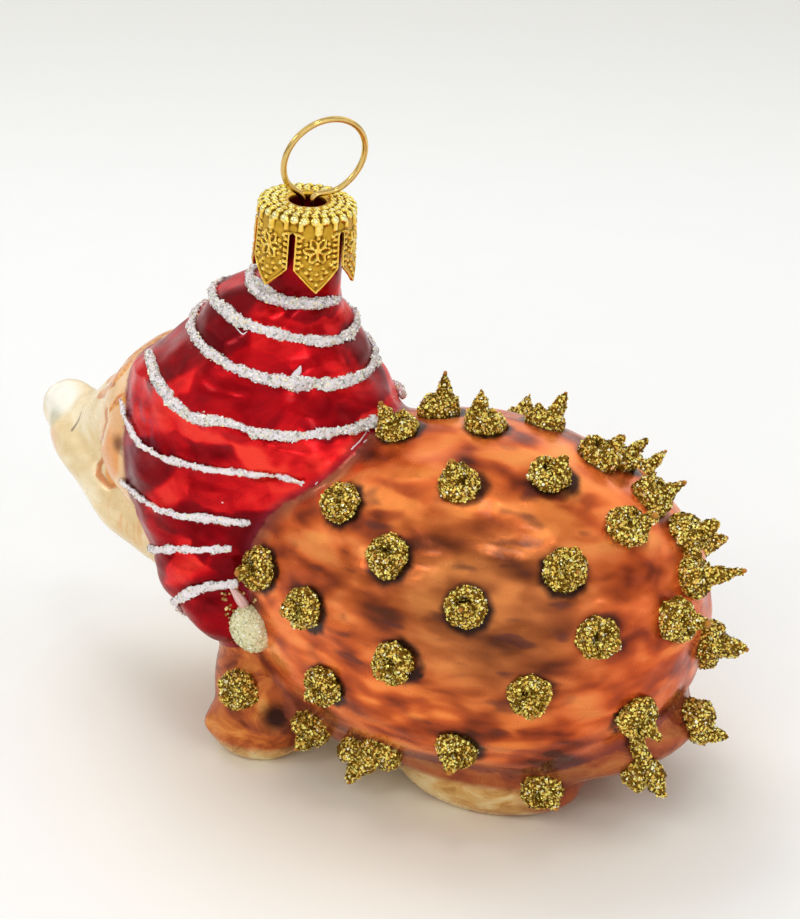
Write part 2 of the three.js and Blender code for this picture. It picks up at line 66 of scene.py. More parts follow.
# The forms of the blown glass in millimetres: stations of a spine with half sizes (wide, up, down), where
# wide is along the across direction. The first and last station are the rounded ends.
PART_SHIFT = np.array([6.0253, 0.0207, 0.0])
FORMS = {
    "coat": (
        (0, 1, 0),
        2.6,
        [(-20.5, 0, 24), (-5, 0, 23.5, 17.5, 16.3, 18.5), (11, 0, 22.8, 20.5, 19.3, 19.5),
         (26.5, 0, 20.5, 17.5, 16.2, 15.5), (36.8, 0, 18.5)],
    ),
    "hat": (
        (1, 0, 0),
        2,
        [(-12.7, 0, 55.8), (-14.5, 0, 50.5, 9.1, 8.8, 8.8), (-16.6, -0.5, 40, 16.6, 14.3, 14.3),
         (-18.6, -4.5, 31.8, 15.5, 11.2, 12.2), (-17.8, -9.5, 23.8, 8.6, 6.9, 7.4), (-13.9, -14, 15.9)],
    ),
    "head": ((0, -1, 0), 2, [(-11, -1, 35), (-26.7, 2, 33.9, 13, 12, 13.2), (-38, 5.5, 32.5)]),
    "face": (
        (0, -1, 0),
        2,
        [(-18, 0, 34), (-29, 3, 33.4, 11.5, 10, 12), (-38, 5.5, 31.6, 7.6, 6.6, 8.2),
         (-46, 7.8, 29.2, 4, 3, 4.4), (-51.5, 9.2, 29.4)],
    ),
    "nose": ((0, -1, 0), 2, [(-46.8, 7.7, 29.1), (-50.4, 8.7, 29.1, 3.4, 3.5, 4.2), (-54.3, 9.8, 29.4)]),
    "jaw": (
        (0, -1, 0),
        2,
        [(-52, 8.5, 28), (-42.5, 6, 25.8, 7.2, 5, 4.6), (-34, 4, 21.6, 8.6, 6, 5), (-20.8, 1, 13.6)],
    ),
    "chest": ((0, 1, 0), 2, [(-24, 3, 28), (-14, 1, 16, 11, 8.5, 8.5), (-4, 0, 5)]),
    "belly": ((0, 1, 0), 2.4, [(-20, 0, 9), (9, 0, 8.5, 15.5, 7, 6.5), (37, 0, 10)]),
    "front_leg": ((0, 1, 0), 2, [(-12, -6, 20), (-13.3, -9.5, 10, 5, 5.6, 5.6), (-13.5, -11, 1)]),
    "front_paw": ((0, -1, 0), 2, [(-7, -10.5, 4), (-13.3, -11, 3.7, 4.4, 4.2, 4.4), (-19.4, -11.5, 3.7)]),
    "rear_paw": ((0, -1, 0), 2, [(27, -8.5, 4.5), (15.5, -9.5, 4.2, 4.6, 4.8, 4.8), (4.8, -10, 4)]),
}
PAIRED = ("front_leg", "front_paw", "rear_paw")

# The frame that the neck, the cap and the hanger share: its foot, its lean and the cap's shoulder above it.
NECK_FOOT = Vector((-6.4747, 0.0207, 54.4))
NECK_LEAN = math.radians(5)
NECK_RADIUS = 4.4
NECK_BORE = 3.5
NECK_RIM = 10.3
NECK_ROOT = 6
NECK_WAY_OUT = 1.7  # by which the bore's tool stands over the rim
CAP_SHOULDER = 11.0
PETAL_TURN = math.radians(-47)

# Faces round and along each form, for its own skin, the swollen skin and the hollow.
FORM_FACES = (72, 48)
SKIN_FACES = (96, 64)
HOLLOW_FACES = (48, 32)
SHRINK_STEPS = 4  # in which the swollen skin goes back


# Property groups.
def length(name, description, millimetres):
    return FloatProperty(name=name, description=description, default=millimetres * MM, unit="LENGTH")


def angle(name, description, degrees):
    return FloatProperty(name=name, description=description, default=math.radians(degrees), subtype="ANGLE")


def paint(name, description, *default):
    return FloatVectorProperty(name=name, description=description, default=default, subtype="COLOR")


class GlassSettings(bpy.types.PropertyGroup):
    wall: length("Wall", "Thickness of the glass", 1.0)
    cell: length("Cell", "Size of the faces of the glass", 0.46)
    fillet: length("Fillet", "Swell that rounds the creases", 0.9)
    ripple: length("Ripple", "Depth of the waves left by the mould", 0.16)
    # The hat's bright and dark reds are painted reflections: painted light and painted shade of the studio on
    # the glass.
    hat_bright_reflection: paint("Hat, bright", "Red lacquer in full light", 0.78, 0.012, 0.014)
    hat_dark_reflection: paint("Hat, dark", "Red lacquer where it lies thick", 0.17, 0.0, 0.003)
    coat_bright: paint("Coat, bright", "Orange lacquer where it lies thin", 0.95, 0.24, 0.06)
    coat_dark: paint("Coat, dark", "Brown lacquer where it lies thick", 0.1, 0.018, 0.006)
    face: paint("Face", "Pearly cream lacquer", 0.87, 0.68, 0.38)


class GlueSettings(bpy.types.PropertyGroup):
    cell: length("Cell", "Size of the faces of the glue", 0.21)
    gold_grain: length("Gold grain", "Size of a gold grain", 0.34)
    white_grain: length("White grain", "Size of an iridescent grain", 0.3)
    cream_grain: length("Cream grain", "Size of a grain on the pompom", 0.28)
    gold: paint("Gold", "Colour of the gold grains", 0.78, 0.5, 0.09)
    white: paint("White", "Colour of the white glue", 0.88, 0.81, 0.84)
    cream: paint("Cream", "Colour of the pompom's glue", 0.82, 0.77, 0.47)


class MetalSettings(bpy.types.PropertyGroup):
    sheet: length("Sheet", "Thickness of the cap's sheet", 0.25)
    relief: length("Relief", "Height of the stamped relief", 0.28)
    gold: paint("Gold", "Colour of the stamped cap", 0.97, 0.63, 0.1)
    wire: paint("Wire", "Colour of the wire", 0.86, 0.6, 0.2)


class StageSettings(bpy.types.PropertyGroup):
    azimuth: angle("Azimuth", "Camera's turn", 27)
    elevation: angle("Elevation", "Camera's rise", 25)
    distance: length("Distance", "Camera to target", 320)
    lens: FloatProperty(name="Lens", description="Focal length in millimetres", default=110)
    paper: paint("Paper", "Colour of the floor", 0.93, 0.93, 0.92)


class OrnamentSettings(bpy.types.PropertyGroup):
    glass: PointerProperty(type=GlassSettings)
    glue: PointerProperty(type=GlueSettings)
    metal: PointerProperty(type=MetalSettings)
    stage: PointerProperty(type=StageSettings)


# Mesh helpers.
def select_only(*objects):
    bpy.ops.object.select_all(action="DESELECT")
    for obj in objects:
        obj.select_set(True)
    bpy.context.view_layer.objects.active = objects[0]


def apply_modifier(obj, kind, **values):
    select_only(obj)
    modifier = obj.modifiers.new(kind.title(), kind)
    for name, value in values.items():
        setattr(modifier, name, value)
    bpy.ops.object.modifier_apply(modifier=modifier.name)


def remesh(obj, cell, smoothing=4):
    apply_modifier(obj, "REMESH", mode="VOXEL", voxel_size=cell, use_smooth_shade=True)
    apply_modifier(obj, "SMOOTH", factor=0.5, iterations=smoothing)


def coords(obj):
    flat = np.empty(len(obj.data.vertices) * 3)
    obj.data.vertices.foreach_get("co", flat)
    return flat.reshape(-1, 3)


def set_coords(obj, places):
    obj.data.vertices.foreach_set("co", np.asarray(places, float).ravel())
    obj.data.update()


def normals(obj):
    flat = np.empty(len(obj.data.vertices) * 3)
    obj.data.vertex_normals.foreach_get("vector", flat)
    return flat.reshape(-1, 3)


def set_attribute(obj, name, values):
    """Sets an attribute from a value for each point, or from one value for all."""
    layer = obj.data.attributes.get(name) or obj.data.attributes.new(name, "FLOAT", "POINT")
    spread = np.broadcast_to(np.asarray(values, float), len(obj.data.vertices))
    layer.data.foreach_set("value", np.ascontiguousarray(spread))


def raise_skin(obj, heights):
    """Moves the points along their normals by these heights, in metres."""
    set_coords(obj, coords(obj) + normals(obj) * np.asarray(heights)[..., None])


@contextmanager
def editing(obj):
    """Edit mode with the whole mesh of an object selected."""
    select_only(obj)
    bpy.ops.object.mode_set(mode="EDIT")
    bpy.ops.mesh.select_all(action="SELECT")
    yield
    bpy.ops.object.mode_set(mode="OBJECT")


def mesh_object(name, places, faces):
    mesh = bpy.data.meshes.new(name)
    mesh.from_pydata([tuple(p) for p in places], [], faces)
    obj = bpy.data.objects.new(name, mesh)
    bpy.context.scene.collection.objects.link(obj)
    return obj


def join(name, *objects):
    select_only(*objects)
    if len(objects) > 1:
        bpy.ops.object.join()
    obj = bpy.context.view_layer.objects.active
    obj.name = obj.data.name = name
    return obj


def node_copy(node, name):
    """A merged copy of a CAD node's mesh, free of its body."""
    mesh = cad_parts[node].data.copy()
    mesh.materials.clear()
    obj = bpy.data.objects.new(name, mesh)
    bpy.context.scene.collection.objects.link(obj)
    with editing(obj):
        bpy.ops.mesh.remove_doubles(threshold=0.002 * MM)
    return obj


def smoothstep(values, low, high):
    share = np.clip((values - low) / (high - low), 0, 1)
    return share * share * (3 - 2 * share)


def waves(places, length, seed, stretch=(1, 1, 1), count=28):
    """Smooth noise of about unit depth: a sum of sine waves of about this length."""
    draws = np.random.default_rng(seed)
    headings = draws.normal(size=(count, 3))
    headings /= np.linalg.norm(headings, axis=1)[:, None]
    rates = 2 * math.pi / (length * draws.uniform(0.7, 1.5, count))
    phases = draws.uniform(0, 2 * math.pi, count)
    swing = np.sin((places * np.array(stretch)) @ (headings * rates[:, None]).T + phases)
    return swing.sum(1) * math.sqrt(2 / count)


def smooth_below(obj, degrees):
    """Smooth shading, with an edge where faces meet more sharply than this."""
    select_only(obj)
    bpy.ops.object.shade_smooth_by_angle(angle=math.radians(degrees))


def finish_piece(obj, material, body, node):
    obj.data.materials.clear()
    obj.data.materials.append(material)
    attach(obj, body)
    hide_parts(node)
    return obj


# The forms of the glass.
def curve(points, shares):
    """Centripetal Catmull-Rom through the points at these shares."""
    points = np.asarray(points, float)
    last = len(points) - 1
    at = np.clip(shares, 0, 1) * last
    i = np.minimum(at.astype(int), last - 1)
    w = (at - i)[:, None]
    ends = np.vstack([2 * points[0] - points[1], points, 2 * points[-1] - points[-2]])
    x = [ends[i + k] for k in range(4)]
    gap = [np.sum((b - a) ** 2, 1) ** 0.25 for a, b in zip(x, x[1:])]
    gap[1] = np.where(gap[1] < 1e-4, 1, gap[1])
    for k in (0, 2):
        gap[k] = np.where(gap[k] < 1e-4, gap[1], gap[k])
    d0, d1, d2 = (g[:, None] for g in gap)
    t1 = ((x[1] - x[0]) / d0 - (x[2] - x[0]) / (d0 + d1) + (x[2] - x[1]) / d1) * d1
    t2 = ((x[2] - x[1]) / d1 - (x[3] - x[1]) / (d1 + d2) + (x[3] - x[2]) / d2) * d1
    bend = -3 * x[1] + 3 * x[2] - 2 * t1 - t2
    return x[1] + t1 * w + bend * w**2 + (2 * x[1] - 2 * x[2] + t1 + t2) * w**3


def unit(vectors):
    return vectors / np.linalg.norm(vectors, axis=-1, keepdims=True)


def skin(form, sphere, mirror=1, grow=0.0):
    """Places on the skin of a form for places on the unit sphere (z along the spine)."""
    across, square, stations = form
    points = np.array([s[:3] for s in stations], float) * (1, mirror, 1)
    last = len(points) - 1
    points[0] += unit(points[0] - points[1]) * grow
    points[last] += unit(points[last] - points[last - 1]) * grow
    sizes = []
    for i, station in enumerate(stations[1:-1]):
        share = (i + 1) / last
        sizes.append((np.array(station[3:], float) + grow) / (2 * math.sqrt(share * (1 - share))))
    sizes = [sizes[0], *sizes, sizes[-1]]
    shares = (1 - sphere[:, 2]) / 2
    along = unit(curve(points, shares + 1e-4) - curve(points, shares - 1e-4))
    across = np.array(across, float)
    side = unit(across - along * (along @ across)[:, None])
    up = np.cross(along, side)
    size = curve(sizes, shares)
    x, z = sphere[:, 0], -sphere[:, 1]
    radius = np.maximum(np.hypot(x, z), 1e-9)
    power = np.where(z < 0, square, 2.0)
    corner = (np.abs(x) / radius) ** power + (np.abs(z) / radius) ** power
    fill = np.where(corner > 0, corner, 1) ** (-1 / power)
    height = np.where(z < 0, size[:, 2], size[:, 1])
    place = curve(points, shares)
    place += side * (size[:, 0] * x * fill)[:, None] + up * (height * z * fill)[:, None]
    return (place + PART_SHIFT) * MM


def form_objects(grow, around, along):
    """One shaped sphere for each form of the glass."""
    made = {}
    for name, form in FORMS.items():
        for mirror in (1, -1) if name in PAIRED else (1,):
            bpy.ops.object.select_all(action="DESELECT")
            bpy.ops.mesh.primitive_uv_sphere_add(segments=around, ring_count=along, radius=1)
            obj = bpy.context.active_object
            set_coords(obj, skin(form, coords(obj), mirror, grow))
            made[name, mirror] = obj
    return made


def neck_matrix(height=0.0):
    """The neck's frame in metres, raised along its axis by this many millimetres."""
    turn = Matrix.Rotation(NECK_LEAN, 4, "Y")
    return Matrix.Translation(NECK_FOOT * MM) @ turn @ Matrix.Translation((0, 0, height * MM))


def neck_tube(radius, bottom, top):
    bpy.ops.object.select_all(action="DESELECT")
    bpy.ops.mesh.primitive_cylinder_add(vertices=96, radius=radius * MM, depth=(top - bottom) * MM)
    obj = bpy.context.active_object
    obj.data.transform(neck_matrix((top + bottom) / 2))
    return obj


def tree_of(obj):
    return BVHTree.FromPolygons([v.co for v in obj.data.vertices], [p.vertices for p in obj.data.polygons])


def signed_distances(tree, places):
    """Millimetres from a closed surface, negative inside it."""
    out = np.empty(len(places))
    for i, place in enumerate(places):
        near, normal, _, gap = tree.find_nearest(Vector(place))
        out[i] = math.copysign(gap, (Vector(place) - near).dot(normal))
    return out / MM


GROUPS = {
    "hat": ("hat",),
    "coat": ("coat",),
    "head": ("head", "face", "jaw", "nose"),
    "belly": ("belly", "rear_paw"),
    "front": ("front_leg", "front_paw", "chest"),
}
glass_trees = {}


def make_glass(settings):
    group_trees = {group: [] for group in GROUPS}
    for (name, _), obj in form_objects(0, *FORM_FACES).items():
        face_outwards(obj)
        for group, names in GROUPS.items():
            if name in names:
                group_trees[group].append(tree_of(obj))
        bpy.data.objects.remove(obj)

    swell = settings.fillet / MM
    outer = form_objects(swell, *SKIN_FACES).values()
    outer = join("blown_glass", *outer, neck_tube(NECK_RADIUS + swell, -NECK_ROOT, NECK_RIM + swell))
    remesh(outer, settings.cell, 5)
    for _ in range(SHRINK_STEPS):
        raise_skin(outer, -settings.fillet / SHRINK_STEPS)
    apply_modifier(outer, "SMOOTH", factor=0.5, iterations=5)
    soften_creases(outer, group_trees)
    shape_relief(outer, own_distances(group_trees, coords(outer)), settings)

    inner = form_objects(-settings.wall / MM, *HOLLOW_FACES).values()
    inner = join("hollow", *inner, neck_tube(NECK_BORE, -NECK_ROOT, NECK_RIM + NECK_WAY_OUT))
    remesh(inner, 1.1 * MM, 2)
    apply_modifier(outer, "BOOLEAN", operation="DIFFERENCE", object=inner, solver="MANIFOLD")
    bpy.data.objects.remove(inner)
    cut_soles(outer)
    smooth_below(outer, 40)

    places = coords(outer)
    for group, lead in own_distances(group_trees, places).items():
        set_attribute(outer, group, lead)
    set_attribute(outer, "blot", blot_and_shadow_distances(places))
    for name, lines in PAINTED_LINES.items():
        set_attribute(outer, name, line_distances(outer, places, lines))
    glass_trees["skin"] = tree_of(outer)
    glass_trees["cad"] = tree_of(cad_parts["glass_body"])
    return finish_piece(outer, glass_material(settings), "glass", "glass_body")


def soften_creases(obj, group_trees):
    """Rounds the folds between the front leg, the belly and the coat, and behind the nose."""
    places = coords(obj)
    leads = own_distances({name: group_trees[name] for name in ("front", "belly", "coat", "hat")}, places)
    near = 1 - smoothstep(np.minimum(np.abs(leads["front"]), np.abs(leads["belly"])), 1.0, 3.2)
    near *= smoothstep(places[:, 2], 0.8 * MM, 3 * MM) * (1 - smoothstep(places[:, 2], 19 * MM, 24 * MM))
    snout = np.linalg.norm(places - np.array((-42.8, 6.8, 29.4)) * MM, axis=1) / MM
    near = np.maximum(near, 1 - smoothstep(snout, 3.5, 7))
    weights = obj.vertex_groups.new(name="fold")
    for i in np.nonzero(near > 0.02)[0]:
        weights.add([int(i)], float(near[i]), "REPLACE")
    apply_modifier(obj, "SMOOTH", factor=0.5, iterations=30, vertex_group="fold")
    obj.vertex_groups.clear()


def face_outwards(obj):
    with editing(obj):
        bpy.ops.mesh.normals_make_consistent(inside=False)


def own_distances(group_trees, places):
    """For each group of forms, by how many millimetres a place is nearer to it than to any other."""
    gaps = {
        group: np.min([signed_distances(tree, places) for tree in trees], axis=0)
        for group, trees in group_trees.items()
    }
    return {
        group: np.min([other for name, other in gaps.items() if name != group], axis=0) - gap
        for group, gap in gaps.items()
    }


# Lines painted on the face, in millimetres of the row frame with the radius at each point. Each is also laid
# on the far side of the head's middle plane.
PAINTED_LINES = {
    "hair": [
        [(-26.7, -1.4, 43.8, 1.1), (-28.0, -2.0, 42.6, 1.5), (-28.7, -3.0, 41.7, 1.7),
         (-29.6, -3.4, 40.3, 1.6)],
        [(-29.6, -3.4, 40.3, 1.6), (-32.4, -0.9, 37.6, 1.1), (-34.9, 0.9, 35.5, 0.45)],
        [(-27.6, 0.5, 44.4, 1.6), (-31.6, 1.4, 40.6, 1.5), (-34.6, 2.6, 37.6, 1.0)],
        [(-27.0, 3.0, 45.2, 1.6), (-32.5, 4.6, 41.4, 1.5)],
        [(-25.5, -7.4, 40.4, 0.7), (-27.0, -7.2, 39.3, 0.6), (-27.9, -7.3, 38.3, 0.35)],
    ],
    "strap": [
        [(-26.4, -8.6, 38.2, 1.2), (-26.2, -9.0, 36.7, 1.4), (-26.6, -9.2, 34.8, 1.6),
         (-27.2, -8.9, 32.8, 2.0)],
        [(-27.2, -8.9, 32.8, 2.0), (-29.6, -6.0, 29.9, 2.2), (-31.4, -3.6, 27.6, 2.0)],
    ],
    "strokes": [
        [(-29.0, -6.7, 37.6, 0.42), (-28.3, -7.8, 36.9, 0.26), (-28.8, -7.7, 34.8, 0.22),
         (-30.4, -5.4, 32.2, 0.2), (-33.0, -2.0, 29.4, 0.22), (-33.8, -1.3, 27.4, 0.34),
         (-33.5, -1.9, 26.3, 0.42), (-31.6, -3.2, 25.8, 0.24), (-28.4, -6.6, 27.6, 0.2)],
        [(-27.6, -0.9, 43.4, 0.1), (-29.4, -0.4, 41.8, 0.22)],
        [(-28.4, -1.9, 42.0, 0.1), (-30.2, -1.4, 40.4, 0.26)],
        [(-29.2, -2.9, 41.0, 0.12), (-31.4, -1.2, 39.0, 0.28)],
        [(-28.8, -4.8, 40.1, 0.15), (-32.6, -0.9, 37.4, 0.25)],
        [(-32.4, -1.6, 36.9, 0.2), (-35.1, 1.0, 35.3, 0.2)],
        [(-26.2, -6.9, 40.2, 0.12), (-27.6, -7.1, 38.8, 0.2)],
    ],
    "ink": [
        [(-39.9, 4.6, 32.4, 0.05), (-39.5, 3.3, 31.7, 0.1), (-39.4, 2.8, 30.8, 0.13),
         (-39.9, 2.2, 29.2, 0.17)],
    ],
}
PAINT_RELIEF = (  # how far from its lines each coat of paint rises or sinks, and by how much
    ("strap", -0.9, 0.2, 0.1),
    ("hair", -0.6, 0.3, 0.12),
    ("strokes", -0.1, 0.4, -0.12),
)
TOES = [(-12.2, -13.3, 3.6), (-12.2, 13.3, 3.6), (-12.9, -9.8, 3.4), (-12.9, 9.8, 3.4)]
TOE_RADIUS = 1.9
TOE_RISE = 0.45
FAR = 9.0  # millimetres that stand for any place too far off to matter
PAINT_END = -20  # the painted lines all lie before this length
# The head's upright middle plane: a place on it and its normal, seen from above.
HEAD_MIDDLE = np.array([-22.99, 3.02])
HEAD_SIDE = np.array([0.2718, 0.9624])


def line_distances(obj, places, lines, step=0.25):
    """Distance from the nearest line less its radius there, in millimetres, for lines laid on the skin."""
    tree = tree_of(obj)
    spots = []
    for line in lines:
        points = np.array(line)
        for a, b in zip(points, points[1:]):
            count = max(2, int(np.linalg.norm((b - a)[:3]) / step))
            for share in np.linspace(0, 1, count):
                spots.append(a + (b - a) * share)
    spots = np.array(spots)
    far = spots.copy()
    far[:, :2] -= 2 * ((spots[:, :2] - HEAD_MIDDLE) @ HEAD_SIDE)[:, None] * HEAD_SIDE
    spots = np.vstack([spots, far])
    kd = KDTree(len(spots))
    for i, spot in enumerate(spots):
        kd.insert(tree.find_nearest(Vector(spot[:3]) * MM)[0] / MM, i)
    kd.balance()
    out = np.full(len(places), FAR)
    for k in np.nonzero(places[:, 0] < PAINT_END * MM)[0]:
        _, i, gap = kd.find(Vector(places[k]) / MM)
        out[k] = min(gap - spots[i, 3], FAR)
    return out


def shape_relief(obj, leads, settings):
    """Waves left by the mould, deeper on the hat and the coat, and the raised hair of the face."""
    places = coords(obj)
    hat = smoothstep(leads["hat"], 0, 2)
    coat = smoothstep(leads["coat"], 0, 2)
    height = 0.25 * waves(places, 7 * MM, 3)
    height += hat * 1.0 * waves(places, 6.5 * MM, 5, (0.7, 0.7, 1.5))
    height += hat * 0.3 * waves(places, 3 * MM, 6, (0.8, 0.8, 1.5))
    height += coat * 0.7 * waves(places, 8 * MM, 7, (0.7, 0.8, 1.5))
    height += coat * 0.25 * waves(places, 3.5 * MM, 8, (0.6, 0.8, 1.6))
    still = smoothstep(places[:, 2], 0.3 * MM, 3 * MM) * (1 - smoothstep(places[:, 2], 55 * MM, 57 * MM))
    height = height * settings.ripple * still
    head = smoothstep(-leads["hat"], -0.6, 0.2)
    for name, low, high, rise in PAINT_RELIEF:
        gap = line_distances(obj, places, PAINTED_LINES[name])
        height += head * (1 - smoothstep(gap, low, high)) * rise * MM
    for place in TOES:
        gap = np.linalg.norm(places - np.array(place) * MM, axis=1) / MM
        height += TOE_RISE * MM * (1 - smoothstep(gap, 0, TOE_RADIUS))
    raise_skin(obj, height)


def cut_soles(obj):
    cut = {"use_fill": True, "clear_inner": True, "threshold": 1e-7}
    with editing(obj):
        bpy.ops.mesh.bisect(plane_co=(0, 0, 0), plane_no=(0, 0, 1), **cut)


def blot_and_shadow_distances(places):
    """Millimetres from the nearest gold dab, each moved its own way, mostly down and to the rump, for the
    dark blots beside the dabs: airbrushed dots and painted shadows of the dabs.
    """
    draws = np.random.default_rng(31)
    spots, faces = [], []
    for name in SPIKES:
        turn, reach = math.radians(draws.uniform(-110, 35)), draws.uniform(0.35, 0.95) * MM
        shift = Vector((math.cos(turn) * reach, 0, math.sin(turn) * reach))
        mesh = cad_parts[name].data
        start = len(spots)
        spots += [v.co + shift for v in mesh.vertices]
        faces += [[start + i for i in face.vertices] for face in mesh.polygons]
    dabs = BVHTree.FromPolygons(spots, faces)
    out = np.full(len(places), FAR)
    for i, place in enumerate(places):
        near, normal, _, gap = dabs.find_nearest(Vector(place), 3 * MM)
        if near is not None:
            inside = gap < 0.5 * MM and (Vector(place) - near).dot(normal) < 0
            out[i] = 0.0 if inside else gap / MM
    return out


# Glitter glue.
def skin_under(place):
    """The nearest point of the blown glass, and its normal, as arrays in metres."""
    near, normal, _, _ = glass_trees["skin"].find_nearest(Vector(place))
    return np.array(near), np.array(normal)


def settle(obj):
    """Lets the foot of the glue run down onto the glass."""
    places = coords(obj)
    moved = places.copy()
    for i, place in enumerate(places):
        near, normal, _, gap = glass_trees["skin"].find_nearest(Vector(place))
        gap = math.copysign(gap, (Vector(place) - near).dot(normal)) / MM
        drop = 0.5 * (1 - float(smoothstep(np.array(gap), 0.25, 0.85)))
        moved[i] = place - np.array(normal) * drop * MM
    set_coords(obj, moved)


SEAT_HEIGHT = 0.3  # at which the CAD beads lie over the CAD glass
SINK = 0.06  # by which they sink into the blown glass


def lay_on_skin(obj, flat):
    """Lays a bead on the blown glass at its height over the CAD glass, flattened by this share."""
    places = coords(obj)
    heights = signed_distances(glass_trees["cad"], places)
    for i, place in enumerate(places):
        near, normal = skin_under(place)
        places[i] = near + normal * ((heights[i] - SEAT_HEIGHT) * flat - SINK) * MM
    set_coords(obj, places)


def scattered(obj, count, draws, keep=None):
    """Places and normals drawn evenly over a mesh."""
    mesh = obj.data
    mesh.calc_loop_triangles()
    corners = np.empty(len(mesh.loop_triangles) * 3, int)
    mesh.loop_triangles.foreach_get("vertices", corners)
    corners = corners.reshape(-1, 3)
    places, lift = coords(obj), normals(obj)
    a, b, c = (places[corners[:, k]] for k in range(3))
    areas = np.linalg.norm(np.cross(b - a, c - a), axis=1) / 2
    if keep is not None:
        areas = areas * keep[corners].min(1)
    which = draws.choice(len(corners), count, p=areas / areas.sum())
    u, v = draws.random(count), draws.random(count)
    u, v = np.where(u + v > 1, 1 - u, u), np.where(u + v > 1, 1 - v, v)
    w = 1 - u - v
    spot = a[which] * w[:, None] + b[which] * u[:, None] + c[which] * v[:, None]
    up = unit(lift[corners[which]].mean(1))
    return spot, up, areas.sum()


def grains(obj, size, cover, tilt, draws, sides=5, keep=None, sink=0.1, stray=0.03):
    """Flat many-sided grains strewn over a piece: each leans its own way and has its own tone."""
    area = scattered(obj, 2, np.random.default_rng(0), keep)[2]
    count = int(cover * area / (2.2 * (size / 2) ** 2))
    spot, up, _ = scattered(obj, count, draws, keep)
    up = unit(up + draws.normal(size=(count, 3)) * tilt)
    side = unit(np.cross(up, draws.normal(size=(count, 3))))
    other = np.cross(up, side)
    angles = 2 * math.pi * np.arange(sides) / sides
    radius = size / 2 * draws.uniform(0.65, 1.25, count)
    stretch = draws.uniform(0.65, 1, count)
    thick = radius * 0.28
    spot = spot + up * (radius * draws.uniform(-sink, 0.45, count))[:, None]
    spot = spot + draws.normal(size=(count, 3)) * stray * MM
    ring = spot[:, None] + (
        side[:, None] * np.cos(angles)[None, :, None] * radius[:, None, None]
        + other[:, None] * np.sin(angles)[None, :, None] * (radius * stretch)[:, None, None]
    )
    top = (spot + up * (thick * 0.6)[:, None])[:, None]
    foot = (spot - up * thick[:, None])[:, None]
    places = np.concatenate([ring, top, foot], axis=1).reshape(-1, 3)
    per = sides + 2
    ring_steps = [(k, (k + 1) % sides) for k in range(sides)]
    faces = [(a, b, sides) for a, b in ring_steps] + [(b, a, sides + 1) for a, b in ring_steps]
    faces = (np.array(faces)[None] + (np.arange(count) * per)[:, None, None]).reshape(-1, 3)
    made = mesh_object(obj.name + "_grains", places, faces.tolist())
    set_attribute(made, "tone", np.repeat(draws.random(count), per))
    set_attribute(made, "hue", np.repeat(draws.random(count), per))
    return made


GLUE_TONE = -1.0  # the tone of plain glue, where a grain's tone lies between 0 and 1


def glue_piece(node, name, settings, seed, rough, lump, flat=0.0):
    """A copy of a CAD dab or bead, made fine, uneven and run down onto the glass."""
    obj = node_copy(node, name)
    remesh(obj, settings.cell, 3)
    if flat:
        lay_on_skin(obj, flat)
    else:
        settle(obj)
    places = coords(obj)
    height = rough * waves(places, 0.9 * MM, seed) + lump * waves(places, 2.6 * MM, seed + 1)
    raise_skin(obj, height * MM)
    set_attribute(obj, "tone", GLUE_TONE)
    return obj


def on_skin(point, lift=0.0):
    """The place on the glass nearest to a point in millimetres, raised by a lift, and the normal there."""
    near, normal = skin_under(np.asarray(point, float) * MM)
    return near + normal * lift * MM, normal


THREAD_SIDES = 8


def glue_thread(name, points, radius, lift=0.0):
    """A thin run of glue over the glass through these points, tapered at both ends."""
    count = max(6, len(points) * 5)
    path = curve(points, np.linspace(0, 1, count))
    spots, ups = zip(*(on_skin(point, lift) for point in path))
    spots, ups = np.array(spots), np.array(ups)
    along = unit(np.gradient(spots, axis=0))
    side = unit(np.cross(along, ups))
    other = np.cross(side, along)
    taper = np.sin(math.pi * np.linspace(0.08, 0.92, count)) ** 0.5
    sizes = np.broadcast_to(np.asarray(radius, float), (2,))
    size = np.interp(np.linspace(0, 1, count), [0, 1], sizes) * taper * MM
    turns = np.linspace(0, 2 * math.pi, THREAD_SIDES + 1)[:-1]
    ring = side[:, None] * np.cos(turns)[None, :, None] + other[:, None] * np.sin(turns)[None, :, None]
    rings = (spots[:, None] + ring * size[:, None, None]).reshape(-1, 3)
    steps = [(k, (k + 1) % THREAD_SIDES) for k in range(THREAD_SIDES)]
    faces = []
    for row in range(0, (count - 1) * THREAD_SIDES, THREAD_SIDES):
        faces += [(row + k, row + n, row + THREAD_SIDES + n, row + THREAD_SIDES + k) for k, n in steps]
    end = count * THREAD_SIDES
    for k, n in steps:
        faces.append((n, k, end))
        faces.append((end - THREAD_SIDES + k, end - THREAD_SIDES + n, end + 1))
    obj = mesh_object(name, np.vstack([rings, spots[:1], spots[-1:]]), faces)
    face_outwards(obj)
    set_attribute(obj, "tone", GLUE_TONE)
    return obj


# Thin runs of glue beside the stripes, by the number of the stripe that they belong to; their white is partly
# painted highlight, glints along the glue film.
GLINT_THREADS = {
    1: [[(-9.3, -4.1, 55.2), (-8.3, -4.4, 54.9), (-7.4, -4.2, 55.0), (-6.7, -4.3, 55.5)]],
    2: [[(-11.3, -7.4, 52.4), (-10.2, -7.9, 51.8), (-9.4, -8.1, 51.5), (-9.0, -7.9, 51.8)]],
    4: [
        [(3.9, -4.2, 40.7), (4.1, -1.7, 40.7), (4.5, -2.0, 40.2), (4.3, -3.6, 40.0), (4.3, -5.4, 39.7),
         (4.0, -6.4, 39.2)],
        [(4.0, -6.4, 39.2), (3.7, -7.2, 38.7), (3.4, -7.0, 39.4), (3.8, -5.6, 40.1), (3.9, -4.2, 40.7)],
        [(2.9, -8.2, 38.4), (2.4, -9.0, 38.2), (1.8, -10.0, 37.5), (1.0, -10.8, 36.4)],
        [(-0.4, -11.0, 35.0), (-1.2, -11.2, 34.2)],
    ],
}
